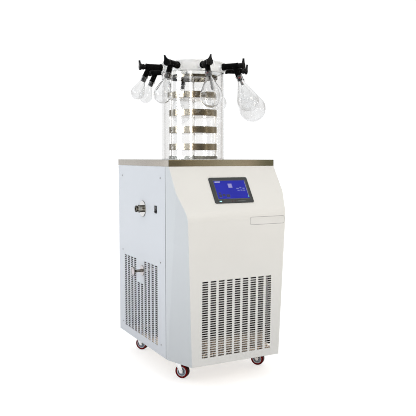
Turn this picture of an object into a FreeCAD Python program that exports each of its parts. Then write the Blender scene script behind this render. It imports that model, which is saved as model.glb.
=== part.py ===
import FreeCAD, Part
import math
import os

# Manifold freeze dryer on four swivel casters: sheet-metal cabinet, stainless top plate,
# clear drying chamber with a shelf rack, and an eight-port manifold with rubber valves and flasks.
# Millimetres, +Z up. The cabinet is built about its own centre line; everything is then moved by
# (-SHIFT_X, -SHIFT_Y) so that the origin is on the floor under the middle of the whole object.

V = FreeCAD.Vector
os.makedirs("parts", exist_ok=True)

# ---------------------------------------------------------------- driving dimensions
SHIFT_X, SHIFT_Y = 25.37, -48.17

PLATE_W, PLATE_D = 540.0, 636.0        # top plate, outside
PLATE_TOP, PLATE_RIM = 988.0, 29.0     # its face, and the height of its folded rim
SHEET = 1.5                            # panel and plate thickness
HALF_W = 269.0                         # cabinet half width, outside
BACK_Y = 316.5                         # back panel, outside
SEAM_Y = -278.0                        # seam between front shell and side panels
CAB_BOTTOM, CAB_TOP = 100.0, 958.8

SLANT_TOP_S = 318.0                    # front profile, s = forward distance (-Y)
SLANT_SLOPE = 0.662                    # forward per mm of drop on the slanted face
BEND_R = 90.0                          # rounded bend below the slanted face
LOW_S0, LOW_SLOPE = 443.0, 0.0192      # lower front face: s at the bottom edge, gain per mm of height
CHAM_A, CHAM_B, CHAM_C = 362.0, -0.3285, 0.04308   # corner plane: half width = A + B*s + C*z
SHELL_T = 2.0

GRILLE_COLS, GRILLE_ROWS = 9, 33
GRILLE_PX, GRILLE_PZ, GRILLE_Z0 = 40.0, 10.25, 138.0
GRILLE_SLOT_L, GRILLE_SLOT_H = 29.5, 6.5
VENT_COLS, VENT_ROWS = 10, 39
VENT_PY, VENT_PZ, VENT_Y0, VENT_Z0 = 43.8, 9.45, -172.0, 142.0
VENT_SLOT_L, VENT_SLOT_H = 29.5, 6.2

SCREEN_W, SCREEN_H, SCREEN_Z = 194.5, 130.0, 853.5
DISPLAY_W, DISPLAY_H = 158.0, 92.0

AXIS_Y = -10.0                         # chamber, manifold and cold trap axis
TUBE_RO, TUBE_RI = 152.0, 142.0
SEAL_T = 3.0
TUBE_TOP = 1402.0
LID_TOP, LID_WALL = 1453.0, 11.0
PORT_Z = 1425.4
PORT_AZ = [-10.0, 34.5, 77.2, 126.0, 167.0, -150.1, -96.7, -52.6]   # from the front (-Y) towards +X
# how each rubber valve sits on its port: distance along the port, leg tilt, twist about the port,
# how far its knob stands out, and the angle of the knob's pointer from upright
VALVE_SET = [
    (5.3, 28.0, -1.9, 3.0, 10.0),
    (2.4, 22.3, 2.1, 9.0, 4.0),
    (5.0, 24.2, 2.8, 9.0, -30.0),
    (4.0, 25.0, 0.0, 2.0, 20.0),
    (3.2, 25.0, 0.0, 3.0, -25.0),
    (2.4, 26.3, 4.9, 3.2, 0.0),
    (-3.3, 23.2, -8.5, 9.0, -26.0),
    (0.7, 21.6, -5.2, 3.9, -21.0),
]

WELL_RI, WELL_T, WELL_BOTTOM = 110.0, 1.5, 700.0
TRAY_R, TRAY_RIM, TRAY_T = 118.5, 31.0, 1.2
TRAY_TOPS = [1064.0, 1145.5, 1226.5, 1310.5]
ROD_R, ROD_AT = 4.0, 109.0
ROD_ANGLES = [62.4, -117.6, 152.4]     # from the front towards +X
DISC_TOP, DISC_H = 1390.0, 13.5

VAC_Y, VAC_Z = -15.0, 756.0
SWITCH_Y, SWITCH_Z = -172.0, 763.0
DRAIN_Y, DRAIN_Z = -1.0, 456.5

LEG_AT, LEG_L = 223.0, 74.0
LIP_AT = 50.0                          # flask lip, along the leg from the barrel axis
FLASKS = {                             # bulb radius, bulb centre along the leg, glass thickness
    "flasks_100ml": (33.0, 131.3, 2.0, [5, 6]),
    "flasks_250ml": (41.5, 155.6, 2.2, [3, 7]),
    "flasks_500ml": (51.5, 176.5, 2.4, [0, 1]),
    "flasks_1000ml": (66.0, 199.7, 2.6, [2, 4]),
}

CASTERS = {"fl": (-201.0, -253.0), "fr": (201.0, -253.0), "rl": (-201.0, 237.0), "rr": (201.0, 237.0)}
WHEEL_R, WHEEL_W, TRAIL = 31.5, 26.0, 25.0
TRAIL_DIR = -50.3                      # direction of the trail, degrees from +X


# ---------------------------------------------------------------- helpers
def box(x0, x1, y0, y1, z0, z1):
    return Part.makeBox(x1 - x0, y1 - y0, z1 - z0, V(x0, y0, z0))


def cyl(r, p, d, h):
    return Part.makeCylinder(r, h, V(*p), V(*d))


def ring(ro, ri, p, d, h):
    a = V(*d)
    a.normalize()
    q = V(*p) - a
    return Part.makeCylinder(ro, h, V(*p), a).cut(Part.makeCylinder(ri, h + 2, q, a))


def fuse(shapes):
    s = shapes[0]
    if len(shapes) > 1:
        s = s.multiFuse(shapes[1:])
    return s.removeSplitter()


def poly_prism(pts, vec):
    w = Part.makePolygon([V(*p) for p in pts] + [V(*pts[0])])
    return Part.Face(w).extrude(V(*vec))


def turned(p, a=360):
    """Solid of revolution about local Z, from (r, z) points joined by straight lines."""
    w = Part.makePolygon([V(r, 0, z) for r, z in p] + [V(p[0][0], 0, p[0][1])])
    return Part.Face(w).revolve(V(0, 0, 0), V(0, 0, 1), a)


def slot_wire(cx, cy, length, height):
    """Obround slot outline in the XY plane, long in X."""
    r = height / 2
    a = length / 2 - r
    e = [
        Part.LineSegment(V(cx - a, cy - r, 0), V(cx + a, cy - r, 0)).toShape(),
        Part.Arc(V(cx + a, cy - r, 0), V(cx + a + r, cy, 0), V(cx + a, cy + r, 0)).toShape(),
        Part.LineSegment(V(cx + a, cy + r, 0), V(cx - a, cy + r, 0)).toShape(),
        Part.Arc(V(cx - a, cy + r, 0), V(cx - a - r, cy, 0), V(cx - a, cy - r, 0)).toShape(),
    ]
    return Part.Wire(e)


def rounded_wire(w, h, r, cx=0.0, cy=0.0):
    x, y = w / 2, h / 2
    k = r * (1 - math.sqrt(0.5))
    P = lambda a, b: V(cx + a, cy + b, 0)
    e = [
        Part.LineSegment(P(-x + r, -y), P(x - r, -y)).toShape(),
        Part.Arc(P(x - r, -y), P(x - k, -y + k), P(x, -y + r)).toShape(),
        Part.LineSegment(P(x, -y + r), P(x, y - r)).toShape(),
        Part.Arc(P(x, y - r), P(x - k, y - k), P(x - r, y)).toShape(),
        Part.LineSegment(P(x - r, y), P(-x + r, y)).toShape(),
        Part.Arc(P(-x + r, y), P(-x + k, y - k), P(-x, y - r)).toShape(),
        Part.LineSegment(P(-x, y - r), P(-x, -y + r)).toShape(),
        Part.Arc(P(-x, -y + r), P(-x + k, -y + k), P(-x + r, -y)).toShape(),
    ]
    return Part.Wire(e)


def sheet_face(outline, holes):
    """Flat face with holes, whichever way round their outlines run."""
    return Part.makeFace([Part.Wire(outline.Edges)] + [Part.Wire(h.Edges) for h in holes], "Part::FaceMakerBullseye")


def rounded_plate(w, h, r, t, cx=0.0, cy=0.0):
    return Part.Face(rounded_wire(w, h, r, cx, cy)).extrude(V(0, 0, t))


def placed(shape, x, y, z, origin):
    """Shape from a local frame whose axes are x, y, z, moved to origin."""
    m = FreeCAD.Matrix(x[0], y[0], z[0], origin[0], x[1], y[1], z[1], origin[1],
                       x[2], y[2], z[2], origin[2], 0, 0, 0, 1)
    return shape.transformed(m, True)


def pipe(points, r, bend):
    """Tube of radius r: straight runs joined by tangent arcs of radius bend."""
    P = [V(*p) for p in points]
    edges = []
    start = P[0]
    for i in range(1, len(P) - 1):
        a = (P[i - 1] - P[i])
        b = (P[i + 1] - P[i])
        a.normalize()
        b.normalize()
        ang = a.getAngle(b)
        t = bend / math.tan(ang / 2)
        p1, p2 = P[i] + a * t, P[i] + b * t
        c = P[i] + (a + b).normalize() * (bend / math.sin(ang / 2))
        mid = c + (P[i] - c).normalize() * bend
        edges.append(Part.LineSegment(start, p1).toShape())
        edges.append(Part.Arc(p1, mid, p2).toShape())
        start = p2
    edges.append(Part.LineSegment(start, P[-1]).toShape())
    w = Part.Wire(edges)
    prof = Part.Wire([Part.makeCircle(r, P[0], P[1] - P[0])])
    return w.makePipeShell([prof], True, False)


NODES = []


def save(name, shape):
    if isinstance(shape, (list, tuple)):
        shape = Part.makeCompound(list(shape))
    s = shape.copy()
    s.translate(V(-SHIFT_X, -SHIFT_Y, 0))
    if not s.isValid():
        print("NOT VALID", name)
    b = s.BoundBox
    NODES.append((name, b))
    print("%-22s solids %3d faces %5d  x %.1f..%.1f y %.1f..%.1f z %.1f..%.1f vol %.0f" % (
        name, len(s.Solids), len(s.Faces), b.XMin, b.XMax, b.YMin, b.YMax, b.ZMin, b.ZMax, s.Volume))
    s.exportStep("parts/%s.step" % name)


# ---------------------------------------------------------------- front shell
def slant_s(z):
    return SLANT_TOP_S + SLANT_SLOPE * (CAB_TOP - z)


def low_s(z):
    return LOW_S0 + LOW_SLOPE * (z - CAB_BOTTOM)


def front_body(t):
    """Solid inside the front shell's surfaces moved inwards by t."""
    n1 = math.sqrt(1 + SLANT_SLOPE ** 2)
    n2 = math.sqrt(1 + LOW_SLOPE ** 2)
    d1, d2 = t * n1, t * n2

    def f1(z):
        return slant_s(z) - d1

    def f2(z):
        return low_s(z) - d2
    zc = (SLANT_TOP_S + SLANT_SLOPE * CAB_TOP - d1 - LOW_S0 + LOW_SLOPE * CAB_BOTTOM + d2) / (SLANT_SLOPE + LOW_SLOPE)
    corner = V(0, -f2(zc), zc)
    up = V(0, SLANT_SLOPE, 1).normalize()
    dn = V(0, LOW_SLOPE, -1).normalize()
    R = BEND_R - t
    ang = up.getAngle(dn)
    T = R / math.tan(ang / 2)
    p1, p2 = corner + up * T, corner + dn * T
    c = corner + (up + dn).normalize() * (R / math.sin(ang / 2))
    mid = c + (corner - c).normalize() * R
    e = 0.0 if t == 0 else 3.0      # the inner body runs past the open edges
    zt, zb = CAB_TOP + e, CAB_BOTTOM - e
    yb = SEAM_Y + e
    a = V(0, -f1(zt), zt)
    b = V(0, -f2(zb), zb)
    back_t, back_b = V(0, yb, zt), V(0, yb, zb)
    w = Part.Wire([
        Part.LineSegment(a, p1).toShape(), Part.Arc(p1, mid, p2).toShape(),
        Part.LineSegment(p2, b).toShape(), Part.LineSegment(b, back_b).toShape(),
        Part.LineSegment(back_b, back_t).toShape(), Part.LineSegment(back_t, a).toShape()])
    hw = HALF_W - t
    body = Part.Face(w)
    body.translate(V(-hw, 0, 0))
    body = body.extrude(V(2 * hw, 0, 0))
    # the two corner planes: half width = A + B*s + C*z, moved in by t
    nn = math.sqrt(1 + CHAM_B ** 2 + CHAM_C ** 2)
    A = CHAM_A - t * nn

    def w_at(s, z):
        return A + CHAM_B * s + CHAM_C * z
    for sx in (1, -1):
        pts = []
        for z in (0.0, 1000.0):
            pts.append([V(sx * w_at(200, z), -200, z), V(sx * w_at(600, z), -600, z), V(sx * 600, -600, z), V(sx * 600, -200, z)])
        lo, hi = pts
        quads = [lo, hi] + [[lo[i], lo[(i + 1) % 4], hi[(i + 1) % 4], hi[i]] for i in range(4)]
        faces = [Part.Face(Part.makePolygon(q + [q[0]])) for q in quads]
        wedge = Part.Solid(Part.Shell(faces))
        if wedge.Volume < 0:
            wedge.reverse()
        body = body.cut(wedge)
    return body


outer = front_body(0.0)
inner = front_body(SHELL_T)
shell = outer.cut(inner)
# folded lips along the seams and the bottom edge
lips = []
for sx in (-1, 1):
    x0, x1 = sorted((sx * (HALF_W - 1.0), sx * (HALF_W - 13.0)))
    lips.append(box(x0, x1, SEAM_Y - SHELL_T, SEAM_Y, CAB_BOTTOM + 2.4, CAB_TOP))
lips.append(box(-215, 215, -low_s(CAB_BOTTOM) + 1.0, -low_s(CAB_BOTTOM) + 14, CAB_BOTTOM, CAB_BOTTOM + SHELL_T))
shell = shell.multiFuse(lips)
n_slant = V(0, -1, SLANT_SLOPE).normalize()
u_slant = V(0, SLANT_SLOPE, 1).normalize()
screen_c = V(0, -slant_s(SCREEN_Z), SCREEN_Z)
SX = (1, 0, 0)
SY = (0, u_slant.y, u_slant.z)
SZ = (0, n_slant.y, n_slant.z)


def at_screen(shape):
    return placed(shape, SX, SY, SZ, (screen_c.x, screen_c.y, screen_c.z))


cutout = rounded_plate(SCREEN_W - 10, SCREEN_H - 10, 4, 20)
cutout.translate(V(0, 0, -10))
shell = shell.cut(at_screen(cutout))
slots = []
for i in range(GRILLE_COLS):
    for j in range(GRILLE_ROWS):
        cx = (i - (GRILLE_COLS - 1) / 2) * GRILLE_PX
        cz = GRILLE_Z0 + j * GRILLE_PZ
        f = Part.Face(slot_wire(cx, 0, GRILLE_SLOT_L, GRILLE_SLOT_H))
        s = f.extrude(V(0, 0, 30))
        s = placed(s, (1, 0, 0), (0, 0, 1), (0, -1, 0), (0, -low_s(cz) + 12, cz))
        slots.append(s)
shell = shell.cut(Part.makeCompound(slots)).removeSplitter()
save("front_shell", shell)


# ---------------------------------------------------------------- side, back and top sheets
def vented_panel(side):
    """Flat sheet with a slot field, drawn in (y, z) and folded in at its front and back edges."""
    y0, y1 = SEAM_Y + 0.4, BACK_Y
    outline = Part.makePolygon([V(y0, CAB_BOTTOM, 0), V(y1, CAB_BOTTOM, 0), V(y1, CAB_TOP, 0), V(y0, CAB_TOP, 0), V(y0, CAB_BOTTOM, 0)])
    holes = []
    for i in range(VENT_COLS):
        for j in range(VENT_ROWS):
            cy, cz = VENT_Y0 + i * VENT_PY, VENT_Z0 + j * VENT_PZ
            if side < 0:
                if -20 < cy < 70 and cz > 396:
                    continue
            holes.append(slot_wire(cy, cz, VENT_SLOT_L, VENT_SLOT_H))
    if side < 0:
        holes.append(Part.Wire([Part.makeCircle(12.8, V(VAC_Y, VAC_Z, 0))]))
        holes.append(Part.Wire([Part.makeCircle(9.2, V(DRAIN_Y, DRAIN_Z, 0))]))
        w = Part.makePolygon([V(SWITCH_Y + a * 10.6, SWITCH_Z + b * 14.6, 0) for a, b in ((-1, -1), (1, -1), (1, 1), (-1, 1), (-1, -1))])
        holes.append(w)
    for cy in (-225.0, 262.0):
        for cz in (151.0, 527.0, 907.0):
            holes.append(Part.Wire([Part.makeCircle(2.3, V(cy, cz, 0))]))
    s = sheet_face(outline, holes).extrude(V(0, 0, SHEET))
    # local x -> Y, local y -> Z, local z -> X
    s = placed(s, (0, 1, 0), (0, 0, 1), (1, 0, 0), (HALF_W - SHEET if side > 0 else -HALF_W, 0, 0))
    x0, x1 = sorted((side * (HALF_W - SHEET + 0.2), side * (HALF_W - 12)))
    lip = box(x0, x1, y0, y0 + SHEET, CAB_BOTTOM + 2.4, CAB_TOP)
    return s.fuse(lip).removeSplitter()


save("side_panel_left", vented_panel(-1))
save("side_panel_right", vented_panel(1))

outline = Part.makePolygon([V(-267.2, CAB_BOTTOM, 0), V(267.2, CAB_BOTTOM, 0), V(267.2, CAB_TOP, 0), V(-267.2, CAB_TOP, 0), V(-267.2, CAB_BOTTOM, 0)])
holes = []
for i in range(8):
    for j in range(24):
        holes.append(slot_wire((i - 3.5) * 44.0, 560 + j * 12.0, 28.0, 5.0))
for cx in (-240.0, 240.0):
    for cz in (151.0, 527.0, 907.0):
        holes.append(Part.Wire([Part.makeCircle(2.3, V(cx, cz, 0))]))
INLET_X, INLET_Z = 170.0, 190.0
holes.append(Part.makePolygon([V(INLET_X + a * 14.2, INLET_Z + b * 10.2, 0) for a, b in ((-1, -1), (1, -1), (1, 1), (-1, 1), (-1, -1))]))
s = sheet_face(outline, holes).extrude(V(0, 0, SHEET))
save("back_panel", placed(s, (1, 0, 0), (0, 0, 1), (0, -1, 0), (0, BACK_Y, 0)))

plate = box(-PLATE_W / 2, PLATE_W / 2, -PLATE_D / 2, PLATE_D / 2, PLATE_TOP - PLATE_RIM, PLATE_TOP)
plate = plate.makeFillet(2.0, [e for e in plate.Edges if abs(e.BoundBox.ZMin - PLATE_TOP) < 1e-6 or e.BoundBox.ZLength > 20])
inside = box(-PLATE_W / 2 + SHEET, PLATE_W / 2 - SHEET, -PLATE_D / 2 + SHEET, PLATE_D / 2 - SHEET, PLATE_TOP - PLATE_RIM - 1, PLATE_TOP - SHEET)
plate = plate.cut(inside).cut(cyl(WELL_RI + WELL_T + 0.5, (0, AXIS_Y, 900), (0, 0, 1), 200))
save("top_plate", plate)

# ---------------------------------------------------------------- chassis: pan, posts and rails
frame = []
LIP_Y = -low_s(CAB_BOTTOM) + 14        # rear edge of the front shell's bottom lip
pan = poly_prism([(-262, BACK_Y - SHEET, CAB_BOTTOM), (262, BACK_Y - SHEET, CAB_BOTTOM), (262, -285, CAB_BOTTOM), (212, LIP_Y, CAB_BOTTOM),
                  (-212, LIP_Y, CAB_BOTTOM), (-262, -285, CAB_BOTTOM)], (0, 0, 2.0))
frame.append(pan)


def sq_tube(x0, x1, y0, y1, z0, z1, axis, t=1.5):
    o = box(x0, x1, y0, y1, z0, z1)
    i = {"x": (x0 - 1, x1 + 1, y0 + t, y1 - t, z0 + t, z1 - t),
         "y": (x0 + t, x1 - t, y0 - 1, y1 + 1, z0 + t, z1 - t),
         "z": (x0 + t, x1 - t, y0 + t, y1 - t, z0 - 1, z1 + 1)}[axis]
    return o.cut(box(*i))


PX0, PX1 = 247.5, 267.5
RAIL_Z0, RAIL_Z1 = 966.5, PLATE_TOP - SHEET
for sx in (-1, 1):
    x0, x1 = sorted((sx * PX0, sx * PX1))
    for y in (-235.0, 252.0):
        p = sq_tube(x0, x1, y, y + 20, 102.0, RAIL_Z0, "z")
        frame.append(p)
    frame.append(sq_tube(x0, x1, -300.0, BACK_Y - SHEET, RAIL_Z0, RAIL_Z1, "y"))
for y in (-300.0, 290.0):
    frame.append(sq_tube(-PX0, PX0, y, y + 20, RAIL_Z0, RAIL_Z1, "x"))
holes = []
for cy in (-225.0, 262.0):
    for cz in (151.0, 527.0, 907.0):
        for sx in (-1, 1):
            holes.append(cyl(1.7, (sx * 260.0, cy, cz), (sx, 0, 0), 10))
for sx in (-1, 1):
    strip = box(sx * 240.0 - 7.0, sx * 240.0 + 7.0, BACK_Y - SHEET - 1.5, BACK_Y - SHEET, 102.0, CAB_TOP - 4.0)
    frame.append(strip)
    for cz in (151.0, 527.0, 907.0):
        holes.append(cyl(1.7, (sx * 240.0, BACK_Y - 12, cz), (0, 1, 0), 12))
hc = Part.makeCompound(holes)
frame = [frame[0]] + [f.cut(hc) for f in frame[1:]]
save("chassis_frame", frame)

screws = []


def pan_screw(p, d):
    """Pan-head screw: domed head with a cross recess, plain shank."""
    s = turned([(0, -9.0), (1.65, -9.0), (1.65, 0.0), (3.6, 0.0), (3.5, 1.0), (2.7, 1.8), (1.4, 2.15), (0, 2.2)])
    cross = box(-1.9, 1.9, -0.35, 0.35, 1.2, 3).fuse(box(-0.35, 0.35, -1.9, 1.9, 1.2, 3))
    s = s.cut(cross)
    z = V(*d)
    x = V(0, 1, 0) if abs(z.y) < 0.5 else V(1, 0, 0)
    y = z.cross(x)
    return placed(s, (x.x, x.y, x.z), (y.x, y.y, y.z), d, p)


for cy in (-225.0, 262.0):
    for cz in (151.0, 527.0, 907.0):
        screws.append(pan_screw((-HALF_W, cy, cz), (-1, 0, 0)))
        screws.append(pan_screw((HALF_W, cy, cz), (1, 0, 0)))
for cx in (-240.0, 240.0):
    for cz in (151.0, 527.0, 907.0):
        screws.append(pan_screw((cx, BACK_Y, cz), (0, 1, 0)))
save("panel_screws", screws)

# ---------------------------------------------------------------- left side fittings
# vacuum port: round plate, stub with collar and hose end outside, tube to the cold trap inside
port = turned([(11.0, -204.0), (11.0, -4.0), (6.5, -4.0), (6.5, 36.5), (15.0, 36.5), (16.0, 35.5), (16.0, 30.6), (15.0, 29.6), (12.0, 29.2), (12.0, 26.6),
               (16.6, 26.2), (17.6, 25.2), (17.6, 22.0), (18.8, 21.6), (19.5, 20.8), (19.5, 19.0), (18.8, 18.2), (17.2, 17.8), (17.2, 3.0),
               (37.2, 3.0), (38.0, 2.2), (38.0, 0.0), (12.5, 0.0), (12.5, -204.0)])
port = placed(port, (0, 1, 0), (0, 0, -1), (-1, 0, 0), (-HALF_W, VAC_Y, VAC_Z))
trap_out = cyl(WELL_RI + WELL_T, (0, AXIS_Y, WELL_BOTTOM - 20), (0, 0, 1), 400)
save("vacuum_port", port.cut(trap_out))

# rocker switch: framed housing with a pocket, and the rocker that tips in it about Y
hs = box(-HALF_W - 2.0, -HALF_W, SWITCH_Y - 13.0, SWITCH_Y + 13.0, SWITCH_Z - 17.5, SWITCH_Z + 17.5)
hs = hs.makeFillet(1.2, [e for e in hs.Edges if e.BoundBox.XMax < -HALF_W - 1.9 or e.BoundBox.XLength > 1.5])
hs = hs.fuse(box(-HALF_W, -HALF_W + 24.0, SWITCH_Y - 10.4, SWITCH_Y + 10.4, SWITCH_Z - 14.4, SWITCH_Z + 14.4))
hs = hs.cut(box(-HALF_W - 5, -HALF_W + 12.0, SWITCH_Y - 9.0, SWITCH_Y + 9.0, SWITCH_Z - 13.2, SWITCH_Z + 13.2))
ROCK_X = -HALF_W + 4.0
hs = hs.cut(cyl(1.55, (ROCK_X, SWITCH_Y - 10.4, SWITCH_Z), (0, 1, 0), 20.8))
save("switch_housing", hs.removeSplitter())
# the rocker: two faces in a shallow V, turned so that its upper end is pressed in
rk = poly_prism([(x, 0, z) for x, z in
                 ((-5.6, 0.0), (-8.6, -11.4), (1.0, -11.4), (5.0, -3.0), (5.0, 3.0), (1.0, 11.4), (-8.6, 11.4))], (0, 17.0, 0))
rk.translate(V(ROCK_X, SWITCH_Y - 8.5, SWITCH_Z))
rk = rk.fuse(cyl(1.5, (ROCK_X, SWITCH_Y - 10.2, SWITCH_Z), (0, 1, 0), 20.4))
rk.rotate(V(ROCK_X, SWITCH_Y, SWITCH_Z), V(0, 1, 0), 11.0)
save("power_rocker", rk)

# drain valve: round plate, body and threaded nose; the turned knob on its stem is a separate piece
dv = turned([(0, -30.0), (4.0, -30.0), (4.0, -12.0), (9.0, -12.0), (9.0, 0.0), (25.5, 0.0), (25.5, 1.6), (24.7, 2.4), (8.5, 2.4),
             (8.2, 7.0), (7.2, 8.6), (6.0, 9.0), (0, 9.0)])
dv = dv.cut(cyl(4.05, (0, 0, 1.0), (0, 0, 1), 30)).cut(cyl(2.5, (0, 0, -31.0), (0, 0, 1), 20))
dv = placed(dv, (0, 1, 0), (0, 0, -1), (-1, 0, 0), (-HALF_W, DRAIN_Y, DRAIN_Z))
save("drain_valve_body", dv)
dk = turned([(0, 1.4), (4.0, 1.4), (4.0, 9.4), (6.6, 9.4), (6.6, 30.0), (7.2, 33.5), (8.8, 37.0), (11.6, 40.2), (15.6, 42.8), (20.6, 44.6),
             (21.5, 45.6), (21.5, 48.6), (20.6, 49.6), (16.0, 50.4), (15.0, 49.6), (0, 49.6)])
dk = placed(dk, (0, 1, 0), (0, 0, -1), (-1, 0, 0), (-HALF_W, DRAIN_Y, DRAIN_Z))
save("drain_knob", dk)

# ---------------------------------------------------------------- touch screen
bz = rounded_plate(SCREEN_W, SCREEN_H, 7.0, 4.5)
bz = bz.makeFillet(1.2, [e for e in bz.Edges if e.BoundBox.ZMin > 4.4])
body_ = rounded_plate(SCREEN_W - 11, SCREEN_H - 11, 3.5, 34.0)
body_.translate(V(0, 0, -34.0))
bz = bz.fuse(body_)
DISP_OFF = (2.0, 2.0)
pocket = rounded_plate(DISPLAY_W, DISPLAY_H, 1.0, 6.0, *DISP_OFF)
pocket.translate(V(0, 0, 2.5))
bz = bz.cut(pocket).removeSplitter()
save("screen_bezel", at_screen(bz))
ds = rounded_plate(DISPLAY_W - 0.2, DISPLAY_H - 0.2, 1.0, 1.4, *DISP_OFF)
ds.translate(V(0, 0, 2.5))
save("screen_display", at_screen(ds))

# ---------------------------------------------------------------- chamber
AX = (0, AXIS_Y)
seals = [ring(TUBE_RO + 1.0, TUBE_RI - 1.0, (0, AXIS_Y, z), (0, 0, 1), SEAL_T) for z in (PLATE_TOP, TUBE_TOP)]
save("chamber_seals", seals)
save("chamber_tube", ring(TUBE_RO, TUBE_RI, (0, AXIS_Y, PLATE_TOP + SEAL_T), (0, 0, 1), TUBE_TOP - PLATE_TOP - SEAL_T))

LID_BOT = TUBE_TOP + SEAL_T
lid = turned([(0, LID_TOP), (TUBE_RO - 4, LID_TOP), (TUBE_RO - 1, LID_TOP - 1.2), (TUBE_RO, LID_TOP - 4), (TUBE_RO, LID_BOT),
              (TUBE_RO - LID_WALL, LID_BOT), (TUBE_RO - LID_WALL, LID_TOP - LID_WALL), (0, LID_TOP - LID_WALL)])
lid.translate(V(0, AXIS_Y, 0))


def at_port(shape, az, push=0.0, turn=0.0):
    """From the port's own frame (x outwards, z up, zero on the chamber axis at port height),
    after a turn about the port and a push along it."""
    if turn or push:
        shape = shape.copy()
        shape.rotate(V(0, 0, 0), V(1, 0, 0), turn)
        shape.translate(V(push, 0, 0))
    a = math.radians(az)
    u = (math.sin(a), -math.cos(a), 0)
    t = (math.cos(a), math.sin(a), 0)
    return placed(shape, u, t, (0, 0, 1), (0, AXIS_Y, PORT_Z))


boss = ring(13.5, 6.0, (TUBE_RO - 6.0, 0, 0), (1, 0, 0), 10.0).fuse(ring(10.0, 6.0, (TUBE_RO + 4.0, 0, 0), (1, 0, 0), 26.0))
bore = cyl(6.0, (TUBE_RO - 30, 0, 0), (1, 0, 0), 40)
lid = lid.multiFuse([at_port(boss, a) for a in PORT_AZ])
lid = lid.cut(Part.makeCompound([at_port(bore, a) for a in PORT_AZ])).removeSplitter()
save("manifold_body", lid)

# ---------------------------------------------------------------- shelf rack
def rod_xy(i, r=ROD_AT):
    a = math.radians(ROD_ANGLES[i])
    return r * math.sin(a), AXIS_Y - r * math.cos(a)


base = ring(120.0, 104.0, (0, AXIS_Y, PLATE_TOP + SHEET), (0, 0, 1), 15.0)
base = base.cut(cyl(116.5, (0, AXIS_Y, PLATE_TOP), (0, 0, 1), 13.0))
stand = [base]
for i in range(3):
    x, y = rod_xy(i)
    stand.append(cyl(ROD_R, (x, y, PLATE_TOP + SHEET + 13.0), (0, 0, 1), DISC_TOP - 1.5 - PLATE_TOP - SHEET - 13.0))
    for zt in TRAY_TOPS:
        stand.append(cyl(7.0, (x, y, zt - TRAY_RIM - 6.0), (0, 0, 1), 6.0))
save("rack_stand", fuse(stand))
for k, zt in enumerate(TRAY_TOPS):
    z0 = zt - TRAY_RIM
    tr = turned([(0, z0), (TRAY_R - 2.0, z0), (TRAY_R, z0 + 2.0), (TRAY_R, zt - 0.6), (TRAY_R - 0.6, zt), (TRAY_R - TRAY_T, zt),
                 (TRAY_R - TRAY_T, z0 + 2.6), (TRAY_R - 2.6, z0 + TRAY_T), (0, z0 + TRAY_T)])
    tr.translate(V(0, AXIS_Y, 0))
    tr = tr.cut(Part.makeCompound([cyl(ROD_R + 0.15, (*rod_xy(i), z0 - 1), (0, 0, 1), 5) for i in range(3)]))
    save("shelf_tray_%d" % (k + 1), tr)
d0 = DISC_TOP - DISC_H
td = turned([(0, DISC_TOP), (119.0, DISC_TOP), (120.0, DISC_TOP - 1.0), (120.0, d0), (118.5, d0), (118.5, DISC_TOP - 1.5), (0, DISC_TOP - 1.5)])
td.translate(V(0, AXIS_Y, 0))
save("rack_top_disc", td)

# ---------------------------------------------------------------- cold trap
wo = WELL_RI + WELL_T
well = turned([(WELL_RI, WELL_BOTTOM + WELL_T), (WELL_RI, PLATE_TOP + SHEET), (126.0, PLATE_TOP + SHEET), (126.0, PLATE_TOP), (wo, PLATE_TOP),
               (wo, WELL_BOTTOM), (4.0, WELL_BOTTOM), (4.0, WELL_BOTTOM - 18), (3.0, WELL_BOTTOM - 18), (3.0, WELL_BOTTOM + WELL_T)])
well.translate(V(0, AXIS_Y, 0))
well = well.cut(cyl(11.0, (-150, VAC_Y, VAC_Z), (1, 0, 0), 60))
save("cold_trap_well", well)
INS_RO, INS_RI = 158.0, 122.5
ins = turned([(INS_RI, WELL_BOTTOM), (INS_RI, 950.0), (INS_RO, 950.0), (INS_RO, 664.0), (14.0, 664.0), (14.0, WELL_BOTTOM)])
ins.translate(V(0, AXIS_Y, 0))
ins = ins.cut(cyl(13.0, (-200, VAC_Y, VAC_Z), (1, 0, 0), 120))
PIPE_X = 20.0
ins = ins.cut(box(-8, PIPE_X + 26, AXIS_Y + 100, AXIS_Y + 126.5, 650, 940))
save("trap_insulation", ins)

# refrigerant circuit: copper rings brazed to the trap wall between two headers, and the lines to them
COIL_R = wo + 5.0
rings = []
for k in range(8):
    t = Part.makeTorus(COIL_R, 4.8, V(0, AXIS_Y, 0), V(0, 0, 1))
    t.translate(V(0, 0, 775.0 + k * 20.0))
    rings.append(t)
head = []
for x in (0.0, PIPE_X * 1.5):
    y = AXIS_Y + math.sqrt(COIL_R ** 2 - x ** 2) + 2.0
    head.append(cyl(4.0, (x, y, 650.0), (0, 0, 1), 275.0))
coil = fuse(rings + head)
y0 = AXIS_Y + COIL_R + 2.0
y1 = AXIS_Y + math.sqrt(COIL_R ** 2 - 900) + 2.0
CMP = (-95.0, 120.0)
circuit = [coil]
circuit.append(pipe([(0, y0, 650.0), (0, y0, 560.0), (-60.0, 112.0, 500.0), (-60.0, 112.0, 374.0)], 4.0, 22.0))
circuit.append(pipe([(30.0, y1, 650.0), (30.0, y1, 520.0), (150.0, y1, 520.0), (150.0, 60.0, 420.0), (150.0, 60.0, 330.0)], 4.0, 22.0))
drier = turned([(0, 0), (4, 0), (4, 10), (14, 20), (14, 90), (4, 100), (4, 110), (0, 110)])
drier.translate(V(150.0, 60.0, 220.0))
circuit.append(drier)
circuit.append(pipe([(150.0, 60.0, 220.0), (150.0, 60.0, 145.0), (192.0, -20.0, 145.0), (192.0, -362.0, 145.0), (165.0, -362.0, 145.0)], 4.0, 16.0))
circuit.append(pipe([(-130.0, 112.0, 374.0), (-130.0, 112.0, 443.0), (-192.0, 20.0, 443.0), (-192.0, -362.0, 443.0), (-165.0, -362.0, 443.0)], 4.0, 16.0))
save("refrigerant_circuit", circuit)

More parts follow.
